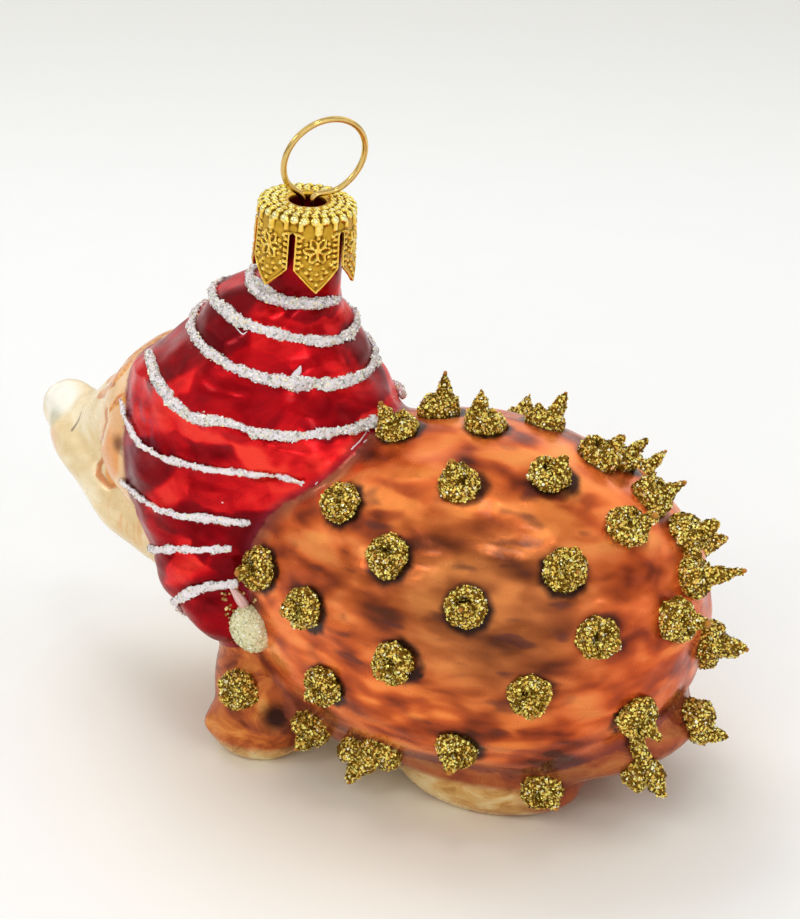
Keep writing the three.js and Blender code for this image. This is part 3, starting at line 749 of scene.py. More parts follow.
RUNS = {  # broad runs that carry a stripe on where its CAD bead ends, by the number of the stripe
    1: [(-12.1, -1.6, 55.7), (-11.4, -2.9, 55.5), (-10.2, -3.9, 55.3), (-8.6, -4.7, 55.2), (-6.4, -5.0, 55.1),
        (-4.2, -4.5, 54.9), (-2.6, -3.1, 54.6), (-1.8, -1.2, 54.2), (-1.5, 0.7, 54.0)],
    4: [(-23.8, -5.2, 45.5), (-22.8, -6.8, 45.8), (-21.8, -8.0, 45.7), (-20.3, -9.9, 45.3),
        (-18.1, -11.8, 44.7), (-15.8, -13.0, 43.9), (-13.7, -13.5, 43.3), (-11.5, -13.9, 43.1),
        (-10.0, -14.1, 43.2), (-8.6, -13.9, 43.1), (-7.0, -13.6, 42.9)],
}
RUN_RADIUS = 0.66
THREAD_RADIUS = 0.085
WIDE_STRIPES = (1, 2, 3, 4, 9)  # these carry coarse, dense grains
LUMPS = {  # place, reach and rise of the lumps on a stripe, in millimetres, by the number of the stripe
    2: [((-11.7, -6.7, 53.2), 1.6, 0.25)],
    3: [((-3.5, -8.3, 47.3), 1.9, 0.4)],
    4: [((-14.5, -12.6, 45), 2.4, 0.22)],
    6: [((-11.2, -14.6, 31.0), 1.0, 0.22)],
    9: [((2.3, 6.3, 39.7), 2.5, 0.25)],
}
PEAK_STRIPE = 3
PEAK = [(-3.3, -8.0, 47.4), (-2.9, -7.4, 48.0), (-2.8, -7.0, 48.6)]


def make_stripes(settings):
    material = stripe_material(settings)
    for number, node in enumerate(STRIPES, 1):
        draws = np.random.default_rng(99 + number)
        wide = number in WIDE_STRIPES
        bead = glue_piece(node, f"white_glue_stripe_{number}", settings, 19 + number, 0.05, 0.06, 0.68)
        for middle, reach, rise in LUMPS.get(number, ()):
            gap = np.linalg.norm(coords(bead) - np.array(middle) * MM, axis=1) / MM
            raise_skin(bead, rise * np.exp(-((gap / reach) ** 2)) * MM)
        if number in RUNS:
            run = glue_thread(f"glue_run_{number}", RUNS[number], RUN_RADIUS, 0.1)
            bead = join(bead.name, bead, run)
        if wide:
            strewn = grains(bead, settings.white_grain * 1.1, 1.7, 0.75, draws, stray=0.05)
        else:
            strewn = grains(bead, settings.white_grain * 0.9, 0.7, 0.5, draws)
        set_attribute(bead, "smooth", 0.0 if wide else 1.0)
        parts = [bead, strewn]
        for points in GLINT_THREADS.get(number, ()):
            parts.append(glue_thread(f"glue_thread_{len(parts)}", points, THREAD_RADIUS))
        if number == PEAK_STRIPE:
            parts.append(glue_thread("stripe_peak", PEAK, (0.55, 0.16), 0.25))
        piece = join(bead.name, *parts)
        smooth_below(piece, 35)
        finish_piece(piece, material, "glass", node)


POMPOM_LONG = np.array([0.688, -0.029, -0.725])  # the way in which the egg of the pompom is long
POMPOM_NECK = [(-7.7, -15.2, 23.4), (-7.0, -15.0, 22.4), (-6.5, -14.8, 21.5), (-6.1, -14.6, 20.6)]
CRUMB_COUNT = 30
GOLD_CRUMBS = [
    (-8.1, -15.5, 22.7), (-7.9, -15.6, 21.9), (-7.9, -15.7, 21.1), (-7.7, -15.6, 20.3), (-7.7, -15.5, 19.6),
    (-6.9, -14.7, 23.0), (-6.2, -14.3, 22.7), (-5.3, -14.2, 22.4), (-4.4, -14.7, 22.6),
]


def make_pompom(settings):
    draws = np.random.default_rng(7)
    ball = glue_piece("hat_pompom", "hat_pompom_glue", settings, 60, 0.05, 0.06)
    places = coords(ball)
    middle = places.mean(0)
    along = (places - middle) @ POMPOM_LONG
    set_coords(ball, places + POMPOM_LONG * (along * 0.16)[:, None])
    strewn = grains(ball, settings.cream_grain, 1.5, 0.45, draws)
    neck = glue_thread("pompom_neck", POMPOM_NECK, (0.5, 0.75))
    set_attribute(neck, "neck", 1.0)
    parts = [ball, strewn, neck]
    strays = [np.array(GOLD_CRUMBS[k % 9]) + draws.normal(size=3) * 0.35 for k in range(CRUMB_COUNT)]
    for spot in [on_skin(stray, 0.12)[0] for stray in strays]:
        bpy.ops.object.select_all(action="DESELECT")
        radius = draws.uniform(0.14, 0.24) * MM
        bpy.ops.mesh.primitive_ico_sphere_add(subdivisions=1, radius=radius, location=spot)
        crumb = bpy.context.active_object
        bpy.ops.object.transform_apply()
        set_attribute(crumb, "tone", draws.random())
        set_attribute(crumb, "gold", 1.0)
        parts.append(crumb)
    piece = join(ball.name, *parts)
    smooth_below(piece, 35)
    finish_piece(piece, pompom_material(settings), "glass", "hat_pompom")


JOINED_SPIKES = (7, 13, 21, 26, 27, 28)  # two dabs run into each other
BASE_HEIGHT = 1.2  # up to which a dab's points count as its base


def carve_hollow(obj, strength):
    """Sinks the hollow behind each cone and returns how deep each point lies in it, from 0 to 1; the glue's
    colour darkens it by that depth as painted shadow.
    """
    places = coords(obj)
    up = normals(obj)
    number = int(obj.name.rsplit("_", 1)[1])
    middle = places.mean(0)
    spread = np.linalg.svd(places - middle, full_matrices=False)[2][0]
    side = (places - middle) @ spread
    halves = [side < 0, side >= 0] if number in JOINED_SPIKES else [np.ones(len(places), bool)]
    depth = np.zeros(len(places))
    for half in halves:
        foot, outward = skin_under(places[half].mean(0))
        rise = (places - foot) @ outward
        tip = places[np.where(half, rise, -1).argmax()]
        base = places[half & (rise < BASE_HEIGHT * MM)].mean(0)
        lean = tip - base
        lean -= outward * (lean @ outward)
        reach = np.linalg.norm(lean)
        lean = lean / max(reach, 1e-6)
        beside = np.cross(outward, lean)
        along = (places - base) @ lean / MM
        across = (places - base) @ beside / MM
        bow = along + 0.62 - 0.25 * across**2
        pit = (1 - smoothstep(np.abs(bow), 0.08, 0.46)) * (1 - smoothstep(np.abs(across), 0.45, 1.0))
        pit = pit * strength
        pit = pit * half * smoothstep(up @ outward, -0.2, 0.2) * smoothstep(rise / MM, 0.5, 1.0)
        set_coords(obj, coords(obj) - outward * (pit * 0.8 * MM)[:, None])
        depth = np.maximum(depth, pit)
    return depth


def raise_cones(obj):
    """Turns the long cones of the dabs on the camera's side a little towards the way the glass faces."""
    places = coords(obj)
    middle = places.mean(0)
    foot, outward = skin_under(middle)
    rise = (places - foot) @ outward
    top = rise.max()
    tip = places[rise.argmax()]
    base = places[rise < BASE_HEIGHT * MM].mean(0)
    lean = tip - base
    lean -= outward * (lean @ outward)
    share = 0.75 if middle[0] < 24 * MM and middle[2] < 37 * MM else 0.1
    weight = smoothstep(rise, 0.8 * MM, top) * share
    drop = smoothstep(rise, 1.6 * MM, top) * share * 0.14 * top
    set_coords(obj, places - lean * weight[:, None] - outward * drop[:, None])


def make_spikes(settings):
    material = spike_material(settings)
    for number, node in enumerate(SPIKES, 1):
        draws = np.random.default_rng(199 + number)
        dab = glue_piece(node, f"gold_glue_spike_{number}", settings, 68 + 2 * number, 0.06, 0.08)
        pit = carve_hollow(dab, draws.uniform(0.4, 1.0))
        if number not in JOINED_SPIKES:
            raise_cones(dab)
        foot = np.array([glass_trees["skin"].find_nearest(Vector(p))[3] for p in coords(dab)]) / MM
        raise_skin(dab, smoothstep(foot, 1.3, 2.6) * 0.2 * MM)
        tip = smoothstep(foot, foot.max() - 0.32, foot.max() - 0.12)
        set_attribute(dab, "tip", tip)
        set_attribute(dab, "pit", pit)
        keep = (1 - tip) * (1 - 0.75 * pit)
        strewn = grains(dab, settings.gold_grain, 1.9, 0.55, draws, keep=keep, stray=0.04)
        piece = join(dab.name, dab, strewn)
        smooth_below(piece, 30)
        finish_piece(piece, material, "glass", node)


# The crown cap and its wire.
CAP_ROWS = 104
PETALS = 6
PETAL_COLUMNS = 44
CAP_PROFILE = [  # radius and height over the shoulder, from the hole's lip to the petals' points
    (2.1, -0.4), (2.1, -0.06), (2.24, 0.14), (2.5, 0.16), (2.8, 0.05), (3.4, 0.01), (4.4, 0.0), (4.95, -0.05),
    (5.22, -0.22), (5.36, -0.6), (5.42, -1.2), (5.48, -2.8), (5.56, -4.8), (5.64, -6.8), (5.7, -8.7),
]
SLOT_TOP = -1.75
SLOT_HALF = 0.35
POINT_TOP = -6.1
POINT_END = -8.7


def petal_half(height, radius):
    """Half the width of a petal at a height over the shoulder, in millimetres."""
    full = radius * math.pi / PETALS
    slot = SLOT_HALF * float(smoothstep(np.array(-height), -SLOT_TOP, -SLOT_TOP + 0.35))
    taper = float(np.clip((POINT_TOP - height) / (POINT_TOP - POINT_END), 0, 1))
    return max((full - slot) * (1 - taper), 0.12)


def bead(gap, radius):
    return np.sqrt(np.clip(1 - (gap / radius) ** 2, 0, 1))


BEAD_ROWS = ((1.28, 18, 0.4), (2.14, 24, 0.43), (3.0, 28, 0.44), (3.82, 28, 0.5))  # arc, count and radius
DOTS = (  # across, height under the shoulder and radius of the dots on a petal, the same on its other half
    (0, 7.75, 0.28), (0.62, 7.05, 0.26), (0, 6.5, 0.26), (1.15, 6.35, 0.28), (1.7, 5.55, 0.26),
    (0.75, 5.85, 0.24), (1.75, 2.25, 0.24),
)
FLOWER_LOW = 3.8  # height of the flower's middle under the shoulder


def cap_relief(across, height, arc, turn, radius, half):
    """Height of the stamped pattern, from 0 to 1, at places on a petal and on the crown over it."""
    out = np.zeros_like(across)
    for level, count, size in BEAD_ROWS:
        pitch = 2 * math.pi / count
        offset = (np.mod(turn + pitch / 2, pitch) - pitch / 2) * radius
        out = np.maximum(out, bead(np.hypot(offset, arc - level), size))
    low = -height
    for bar, wide, foot in ((-2.0, 0.3, 1.5), (0, 0.42, 1.75), (2.0, 0.3, 1.5)):
        length = smoothstep(low, 0.4, 0.6) * (1 - smoothstep(low, foot, foot + 0.2))
        out = np.maximum(out, 0.85 * length * bead(across - bar, wide))
    out = np.maximum(out, bead(np.hypot(across, low - 0.95), 0.5))
    out = np.maximum(out, bead(np.hypot(across, low - 1.75), 0.4))
    z = FLOWER_LOW - low
    reach, turned = np.hypot(across, z), np.arctan2(across, z)
    ray = np.mod(turned, math.pi / 3) - math.pi / 6
    along, beside = reach * np.cos(ray), np.abs(reach * np.sin(ray))
    leaf = 0.38 * np.sin(math.pi * np.clip((along - 0.12) / 1.55, 0, 1))
    inside = (leaf > 0.03) & (beside < leaf + 0.14)
    outline = np.clip(1 - np.abs(beside - leaf) / 0.16, 0, 1) ** 0.5
    out = np.maximum(out, np.where(inside, np.maximum(outline, 0.12), 0))
    out = np.maximum(out, bead(reach, 0.24))
    between = np.mod(turned + math.pi / 6, math.pi / 3) - math.pi / 6
    for away, size in ((1.5, 0.24), (0.95, 0.15)):
        gap = np.hypot(reach * np.sin(between), reach * np.cos(between) - away)
        out = np.maximum(out, 0.8 * bead(gap, size))
    for beside, under, size in DOTS:
        out = np.maximum(out, bead(np.hypot(np.abs(across) - beside, low - under), size))
    edge = half - np.abs(across)
    skirt = smoothstep(low, 1.7, 1.95)
    tick = smoothstep(np.abs(np.mod(low, 0.66) - 0.33), 0.08, 0.2)
    side = bead(edge - 0.45, 0.28) * tick * (1 - smoothstep(low, 6.0, 6.2))
    rim = (1 - smoothstep(edge, 0.12, 0.24)) * 0.75
    return np.maximum(out, skirt * np.maximum(0.85 * side, rim))


def blurred(grid, steps):
    padded = np.pad(grid, steps, mode="edge")
    rows, columns = grid.shape
    total = np.zeros_like(grid)
    for i in range(2 * steps + 1):
        for j in range(2 * steps + 1):
            total += padded[i:i + rows, j:j + columns]
    return total / (2 * steps + 1) ** 2


def make_cap(settings):
    profile = np.array(CAP_PROFILE)
    lengths = np.concatenate([[0], np.cumsum(np.linalg.norm(np.diff(profile, axis=0), axis=1))])
    shares = curve(np.column_stack([profile, lengths]), np.linspace(0, 1, 400))
    wanted = np.linspace(shares[0, 2], shares[-1, 2], CAP_ROWS)
    radii = np.interp(wanted, shares[:, 2], shares[:, 0])
    heights = np.interp(wanted, shares[:, 2], shares[:, 1])
    slope = unit(np.column_stack([np.gradient(radii), np.gradient(heights)]))
    places, faces = [], []
    layers = {"relief": [], "cavity": [], "crown": []}
    columns = np.linspace(-1, 1, PETAL_COLUMNS + 1)
    wide = PETAL_COLUMNS + 1
    for petal in range(PETALS):
        grid = np.zeros((CAP_ROWS, wide))
        turns = np.zeros((CAP_ROWS, wide))
        for row in range(CAP_ROWS):
            radius, height = radii[row], heights[row]
            half = petal_half(height, radius)
            across = columns * half
            turns[row] = PETAL_TURN + petal * 2 * math.pi / PETALS + across / radius
            arc = np.full(wide, wanted[row])
            grid[row] = cap_relief(across, np.full(wide, height), arc, turns[row], radius, half)
        lift = grid * settings.relief / MM
        r = radii[:, None] - slope[:, 1:] * lift
        z = heights[:, None] + slope[:, :1] * lift
        start = petal * CAP_ROWS * wide
        places.append(np.stack([r * np.cos(turns), r * np.sin(turns), z], axis=-1).reshape(-1, 3))
        layers["relief"].append(grid.ravel())
        layers["cavity"].append(np.clip(blurred(grid, 3) - grid, 0, 1).ravel())
        layers["crown"].append(np.repeat(smoothstep(heights, -0.9, -0.3), wide))
        for row in range(CAP_ROWS - 1):
            for column in range(PETAL_COLUMNS):
                a = start + row * wide + column
                faces.append((a, a + wide, a + wide + 1, a + 1))
    obj = mesh_object("stamped_cap", np.vstack(places) * MM, faces)
    for name, values in layers.items():
        set_attribute(obj, name, np.concatenate(values))
    with editing(obj):
        bpy.ops.mesh.remove_doubles(threshold=0.012 * MM)
        bpy.ops.mesh.normals_make_consistent(inside=False)
    apply_modifier(obj, "SOLIDIFY", thickness=settings.sheet, offset=-1)
    smooth_below(obj, 60)
    obj.data.transform(neck_matrix(CAP_SHOULDER))
    return finish_piece(obj, sheet_material(settings), "cap", "crown_cap")


def make_ring(settings):
    obj = node_copy("wire_hanger", "ring_wire")
    with editing(obj):
        bpy.ops.mesh.tris_convert_to_quads()
    apply_modifier(obj, "SUBSURF", levels=2, render_levels=2)
    with editing(obj):
        bpy.ops.transform.shrink_fatten(value=0.045 * MM)
    bpy.ops.object.shade_smooth()
    return finish_piece(obj, wire_material(settings), "hanger", "wire_hanger")


# Node materials.
FACE_STREAKS = (  # centre, stretch and reach of the faint orange streaks under the cheek
    ((-29.5, -3.7, 23.2), (1.4, 1.0, 0.35), 3.6), ((-27.6, -4.0, 21.2), (1.4, 1.0, 0.35), 3.4),
)
# The nose's silver-white paint carries a painted highlight; its shade and grey rim are painted shade.
FACE_TOUCHES = (  # centre, inner and outer reach, strength and colour: cheek, silver nose, its shade and rim
    ((-43.8, 2.6, 26.6), 0.6, 3.0, 0.55, (0.92, 0.5, 0.38)),
    ((-44.6, 6.6, 31.2), 1.6, 3.9, 0.95, (1.0, 0.97, 0.86)),
    ((-44.2, 4.9, 29.0), 0.5, 1.9, 0.5, (0.42, 0.43, 0.3)),
    ((-48.4, 7.4, 29.6), 0.5, 2.6, 0.4, (0.45, 0.45, 0.36)),
)
# The brightest orange on the coat is painted highlight, where the glass catches the light; the lacquer's
# streaks break it up.
COAT_PAINTED_HIGHLIGHTS = (  # centres and reaches of the brightest orange on the coat, in millimetres of the row frame
    ((17, -2, 41.5), 9), ((12.3, -12.4, 37.6), 6), ((20.5, -13.5, 36.5), 5), ((29, -6, 38.5), 7),
    ((42, -6, 23), 7), ((19.5, -19.4, 15.5), 8), ((11, -19.5, 17), 7), ((30, -18, 14), 7),
)


class Graph:
    """Short names for the nodes of a material or a node group."""

    def __init__(self, tree):
        self.tree = tree
        self.shader = tree.nodes.get("Principled BSDF")

    def shade(self, **values):
        """Sets sockets of the Principled shader: Base_Color stands for Base Color."""
        for name, value in values.items():
            self.put(self.shader.inputs[name.replace("_", " ")], value)

    def add(self, kind, inputs=(), **values):
        node = self.tree.nodes.new(kind)
        for name, value in values.items():
            setattr(node, name, value)
        for name, value in dict(inputs).items():
            self.put(node.inputs[name], value)
        return node

    def put(self, socket, value):
        if isinstance(value, bpy.types.NodeSocket):
            self.tree.links.new(value, socket)
        elif socket.type == "RGBA":
            socket.default_value = (*value[:3], 1.0)
        else:
            socket.default_value = value

    def attribute(self, name):
        return self.add("ShaderNodeAttribute", attribute_name=name, attribute_type="GEOMETRY").outputs["Fac"]

    def math(self, operation, *values):
        node = self.add("ShaderNodeMath", operation=operation)
        for socket, value in zip(node.inputs, values):
            self.put(socket, value)
        return node.outputs[0]

    def ramp(self, value, low, high, start=0.0, end=1.0, smooth=True):
        kind = "SMOOTHSTEP" if smooth else "LINEAR"
        node = self.add("ShaderNodeMapRange", interpolation_type=kind)
        for socket, entry in zip(node.inputs, (value, low, high, start, end)):
            self.put(socket, entry)
        return node.outputs["Result"]

    def mix(self, share, first, second, blend="MIX"):
        node = self.add("ShaderNodeMix", data_type="RGBA", blend_type=blend)
        self.put(node.inputs["Factor"], share)
        self.put(node.inputs[6], first)
        self.put(node.inputs[7], second)
        return node.outputs[2]

    def tint(self, base, colour, mask, share=1.0, blend="MIX"):
        """Lays a colour over the base by this share where the mask is 1."""
        return self.mix(self.math("MULTIPLY", mask, share), base, colour, blend)

    def place(self, scale=1.0, stretch=(1, 1, 1), shift=(0, 0, 0)):
        """Object coordinates in millimetres over a scale."""
        source = self.add("ShaderNodeTexCoord").outputs["Object"]
        factor = [s * scale / MM for s in stretch]
        node = self.add("ShaderNodeMapping", {"Vector": source, "Location": shift, "Scale": factor})
        return node.outputs["Vector"]

    def noise(self, length, detail=3.0, rough=0.5, stretch=(1, 1, 1), shift=(0, 0, 0), swirl=0.0):
        """Noise with cells of about this many millimetres."""
        vector = self.place(1 / length, stretch, shift)
        node = self.add(
            "ShaderNodeTexNoise",
            {"Vector": vector, "Scale": 1.0, "Detail": detail, "Roughness": rough, "Distortion": swirl},
        )
        return node.outputs["Fac"]

    def colours(self, value, *stops):
        """A colour band: stops are pairs of place and colour."""
        node = self.add("ShaderNodeValToRGB", {"Fac": value})
        band = node.color_ramp
        while len(band.elements) < len(stops):
            band.elements.new(0.5)
        for element, (at, colour) in zip(band.elements, stops):
            element.position = at
            element.color = (*colour, 1.0)
        return node.outputs["Color"]

    def near(self, centre, inner, outer):
        """1 at a place in the row frame (millimetres), falling to 0."""
        node = self.add("ShaderNodeVectorMath", {0: self.place()}, operation="DISTANCE")
        node.inputs[1].default_value = centre
        return self.ramp(node.outputs["Value"], inner, outer, 1.0, 0.0)

    def bump(self, height, strength, distance, normal=None):
        inputs = {"Height": height, "Strength": strength, "Distance": distance}
        if normal is not None:
            inputs["Normal"] = normal
        return self.add("ShaderNodeBump", inputs).outputs["Normal"]


def new_material(name):
    material = bpy.data.materials.new(name)
    material.use_nodes = True
    return material, Graph(material.node_tree)


def new_group(name, inputs, outputs):
    """A node group with float or colour sockets; returns it with its graph, its inputs and its end node."""
    tree = bpy.data.node_groups.new(name, "ShaderNodeTree")
    kinds = {"value": "NodeSocketFloat", "colour": "NodeSocketColor"}
    for side, sockets in (("INPUT", inputs), ("OUTPUT", outputs)):
        for socket, kind in sockets.items():
            tree.interface.new_socket(socket, in_out=side, socket_type=kinds[kind])
    graph = Graph(tree)
    start = graph.add("NodeGroupInput")
    end = graph.add("NodeGroupOutput")
    return tree, graph, start.outputs, end


def grain_tone_group():
    """Colour of a strewn grain from its own tone: dark, middle, bright or a spark. The tones stand partly for
    light on the tilted grains: the dark ones are painted shade and the sparks painted glints. Glue is plain.
    """
    colours = ("Glue", "Dark", "Middle", "Bright", "Spark")
    tree, graph, given, end = new_group(
        "Grain Tone",
        {**{name: "colour" for name in colours}, "Dark Share": "value", "Bright Share": "value"},
        {"Color": "colour", "Grain": "value"},
    )
    tone = graph.attribute("tone")
    dark = given["Dark Share"]
    bright = graph.math("SUBTRACT", 0.93, given["Bright Share"])
    colour = graph.mix(graph.math("GREATER_THAN", tone, dark), given["Dark"], given["Middle"])
    colour = graph.mix(graph.ramp(tone, bright, graph.math("ADD", bright, 0.1)), colour, given["Bright"])
    spark = graph.math("GREATER_THAN", tone, 0.93)
    colour = graph.mix(spark, colour, given["Spark"])
    grain = graph.ramp(tone, -0.2, 0.0)
    graph.put(end.inputs["Color"], graph.mix(grain, given["Glue"], colour))
    graph.put(end.inputs["Grain"], grain)
    return tree


def grain_tone(graph, dark_share, bright_share, **colours):
    tree = bpy.data.node_groups.get("Grain Tone") or grain_tone_group()
    node = graph.add("ShaderNodeGroup", node_tree=tree)
    for name, colour in colours.items():
        graph.put(node.inputs[name.title()], colour)
    node.inputs["Dark Share"].default_value = dark_share
    node.inputs["Bright Share"].default_value = bright_share
    return node.outputs


def spike_material(settings):
    material, graph = new_material("Gold Glitter Glue")
    gold = tuple(settings.gold)
    # Dark grains are painted shade and sparks painted glints on the gold.
    tone = grain_tone(
        graph,
        0.26,
        0.4,
        glue=(0.17, 0.08, 0.001),
        dark=(0.15, 0.07, 0.001),
        middle=tuple(min(c * 1.15, 1) for c in gold),
        bright=tuple(min(c * f, 1) for c, f in zip(gold, (1.4, 1.8, 2.5))),
        spark=(1.0, 0.97, 0.66),
    )
    colour = graph.mix(graph.attribute("tip"), tone["Color"], (0.5, 0.21, 0.035))
    # Painted shadow: near black in the hollow behind each cone, by its depth.
    colour = graph.mix(graph.math("MULTIPLY", graph.attribute("pit"), 0.95), colour, (0.02, 0.01, 0.003))
    graph.shade(Base_Color=colour)
    graph.shade(Metallic=graph.math("MULTIPLY", tone["Grain"], 0.52))
    graph.shade(Roughness=graph.ramp(tone["Grain"], 0, 1, 0.5, 0.24))
    graph.shade(Specular_IOR_Level=0.15)
    fine = graph.noise(0.22, 2)
    graph.shade(Normal=graph.bump(fine, 0.4, 0.05 * MM))
    return material


def stripe_material(settings):
    material, graph = new_material("White Glitter Glue")
    white = tuple(settings.white)
    rainbow = graph.colours(
        graph.attribute("hue"),
        (0.0, (0.6, 0.78, 0.7)),
        (0.22, (0.97, 0.95, 0.86)),
        (0.5, (0.82, 0.74, 0.9)),
        (0.7, (0.98, 0.93, 0.72)),
        (1.0, (0.98, 0.86, 0.42)),
    )
    # Dark grey grains are painted shade and sparks painted glints on the white.
    tone = grain_tone(
        graph,
        0.16,
        0.46,
        glue=graph.mix(graph.attribute("smooth"), tuple(c * 0.92 for c in white), white),
        dark=(0.42, 0.43, 0.4),
        middle=(0.93, 0.88, 0.85),
        bright=rainbow,
        spark=(1, 1, 0.94),
    )
    graph.shade(Base_Color=tone["Color"])
    graph.shade(Metallic=graph.math("MULTIPLY", tone["Grain"], 0.2))
    graph.shade(Roughness=graph.ramp(tone["Grain"], 0, 1, 0.42, 0.25))
    fine = graph.noise(0.3, 3)
    graph.shade(Normal=graph.bump(fine, 0.5, 0.06 * MM))
    return material


def pompom_material(settings):
    material, graph = new_material("Cream Glitter Glue")
    # Dark grains are painted shade and sparks painted glints on the cream.
    tone = grain_tone(
        graph,
        0.12,
        0.4,
        glue=tuple(settings.cream),
        dark=(0.5, 0.48, 0.24),
        middle=(0.84, 0.8, 0.5),
        bright=(0.95, 0.92, 0.66),
        spark=(1, 1, 0.9),
    )
    gold = graph.ramp(graph.attribute("tone"), 0.2, 0.9, 0.0, 1.0)
    gold = graph.mix(gold, (0.35, 0.17, 0.03), (0.95, 0.72, 0.3))
    colour = graph.mix(graph.attribute("neck"), tone["Color"], (0.8, 0.5, 0.46))
    colour = graph.mix(graph.attribute("gold"), colour, gold)
    graph.shade(Base_Color=colour)
    graph.shade(Metallic=graph.math("MULTIPLY", tone["Grain"], 0.15))
    graph.shade(Roughness=graph.ramp(tone["Grain"], 0, 1, 0.5, 0.3))
    fine = graph.noise(0.3, 3)
    graph.shade(Normal=graph.bump(fine, 0.5, 0.06 * MM))
    return material


def sheet_material(settings):
    material, graph = new_material("Stamped Gold Sheet")
    relief = graph.attribute("relief")
    worn = graph.noise(1.1, 4, 0.6)
    raised = graph.math("ADD", relief, graph.ramp(worn, 0.3, 0.7, -0.2, 0.2))
    gold = tuple(settings.gold)
    skirt = graph.colours(
        raised, (0.0, (0.6, 0.34, 0.03)), (0.35, (0.8, 0.48, 0.06)), (0.75, gold), (1.0, (1.0, 0.8, 0.24))
    )
    top = graph.colours(
        raised,
        (0.0, (0.72, 0.42, 0.04)),
        (0.3, (1.0, 0.7, 0.1)),
        (0.7, (1.0, 0.82, 0.2)),
        (1.0, (1.0, 0.95, 0.5)),
    )
    # Painted light: the top of the crown is lighter and yellower than the petals of the same sheet.
    colour = graph.mix(graph.attribute("crown"), skirt, top)
    deep = graph.ramp(graph.attribute("cavity"), 0.08, 0.36, 0.0, 0.94)
    colour = graph.mix(deep, colour, (0.13, 0.055, 0.004))
    graph.shade(Base_Color=colour)
    graph.shade(Metallic=1.0)
    graph.shade(Roughness=graph.ramp(raised, 0, 0.8, 0.34, 0.16))
    graph.shade(Normal=graph.bump(graph.noise(0.35, 3), 0.35, 0.03 * MM))
    return material


def wire_material(settings):
    material, graph = new_material("Gold Wire")
    drawn = graph.noise(1.6, 3, 0.6)
    dull = tuple(channel * 0.82 for channel in settings.wire)
    colour = graph.mix(graph.ramp(drawn, 0.35, 0.7), dull, tuple(settings.wire))
    graph.shade(Base_Color=colour)
    graph.shade(Metallic=1.0)
    graph.shade(Roughness=graph.ramp(drawn, 0.3, 0.7, 0.16, 0.26))
    graph.shade(Normal=graph.bump(graph.noise(0.25, 2), 0.15, 0.02 * MM))
    return material


def coat_colour(graph, settings, wander):
    """Streaked orange and brown with painted highlights, painted shade on its middle flank and towards the
    rump, dark blots beside the dabs that are airbrushed dots and painted shadows of the dabs, and painted
    shade along its edges.
    """
    broad = graph.noise(8.0, 2, 0.45, (0.8, 0.8, 1.3), (4, 2, 7), 0.3)
    streaks = graph.noise(3.4, 1.6, 0.45, (0.55, 0.8, 1.4), (1, 2, 3), 0.25)
    blend = graph.math("ADD", graph.math("MULTIPLY", broad, 0.45), graph.math("MULTIPLY", streaks, 0.55))
    coat = graph.colours(
        blend,
        (0.34, tuple(settings.coat_dark)),
        (0.4, (0.34, 0.052, 0.012)),
        (0.46, (0.58, 0.1, 0.02)),
        (0.51, (0.78, 0.155, 0.03)),
        (0.565, tuple(settings.coat_bright)),
        (0.64, (1.0, 0.34, 0.085)),
    )
    tan = graph.colours(
        blend,
        (0.38, (0.1, 0.027, 0.009)),
        (0.46, (0.22, 0.062, 0.015)),
        (0.53, (0.34, 0.1, 0.024)),
        (0.62, (0.62, 0.2, 0.05)),
    )
    # Painted shade: darker brown over the coat's middle flank.
    coat_heart_shade = graph.near((27, -17, 29), 4, 17)
    coat = graph.tint(coat, tan, coat_heart_shade, 0.9)
    coat = graph.tint(coat, tan, graph.near((15, -18, 31), 3, 14), 0.45)
    # Painted highlights, broken up by the lacquer's streaks.
    for centre, reach in COAT_PAINTED_HIGHLIGHTS:
        painted_highlight = graph.math("MULTIPLY", graph.near(centre, 0.5, reach), graph.ramp(streaks, 0.44, 0.6))
        coat = graph.tint(coat, (1.0, 0.31, 0.065), painted_highlight, 0.75)
    # Painted shade: redder and darker towards the rump.
    coat = graph.tint(coat, (0.78, 0.5, 0.5), graph.near((38, -6, 20), 4, 24), 0.55, "MULTIPLY")
    smudge = graph.noise(2.3, 0.6, 0.4, (0.6, 0.8, 1.6), (9, 4, 1), 0.1)
    smudge = graph.ramp(smudge, 0.58, 0.74, 0.0, 0.7)
    coat = graph.tint(coat, (0.085, 0.024, 0.02), smudge, graph.near((20, -18, 31), 12, 24))
    # Dark blots beside the dabs: airbrushed dots and painted shadows of the dabs.
    gap = graph.math("ADD", graph.attribute("blot"), graph.math("MULTIPLY", wander, 0.5))
    coat = graph.mix(graph.ramp(gap, 0.0, 1.0, 0.97, 0.0), coat, (0.016, 0.006, 0.004))
    # Painted shade: dark purplish brown along the coat's edges, in its creases with the other forms.
    coat_edge_shade = graph.ramp(graph.attribute("coat"), 0.2, 3.0, 0.75, 0.0)
    return graph.mix(coat_edge_shade, coat, (0.16, 0.04, 0.04))


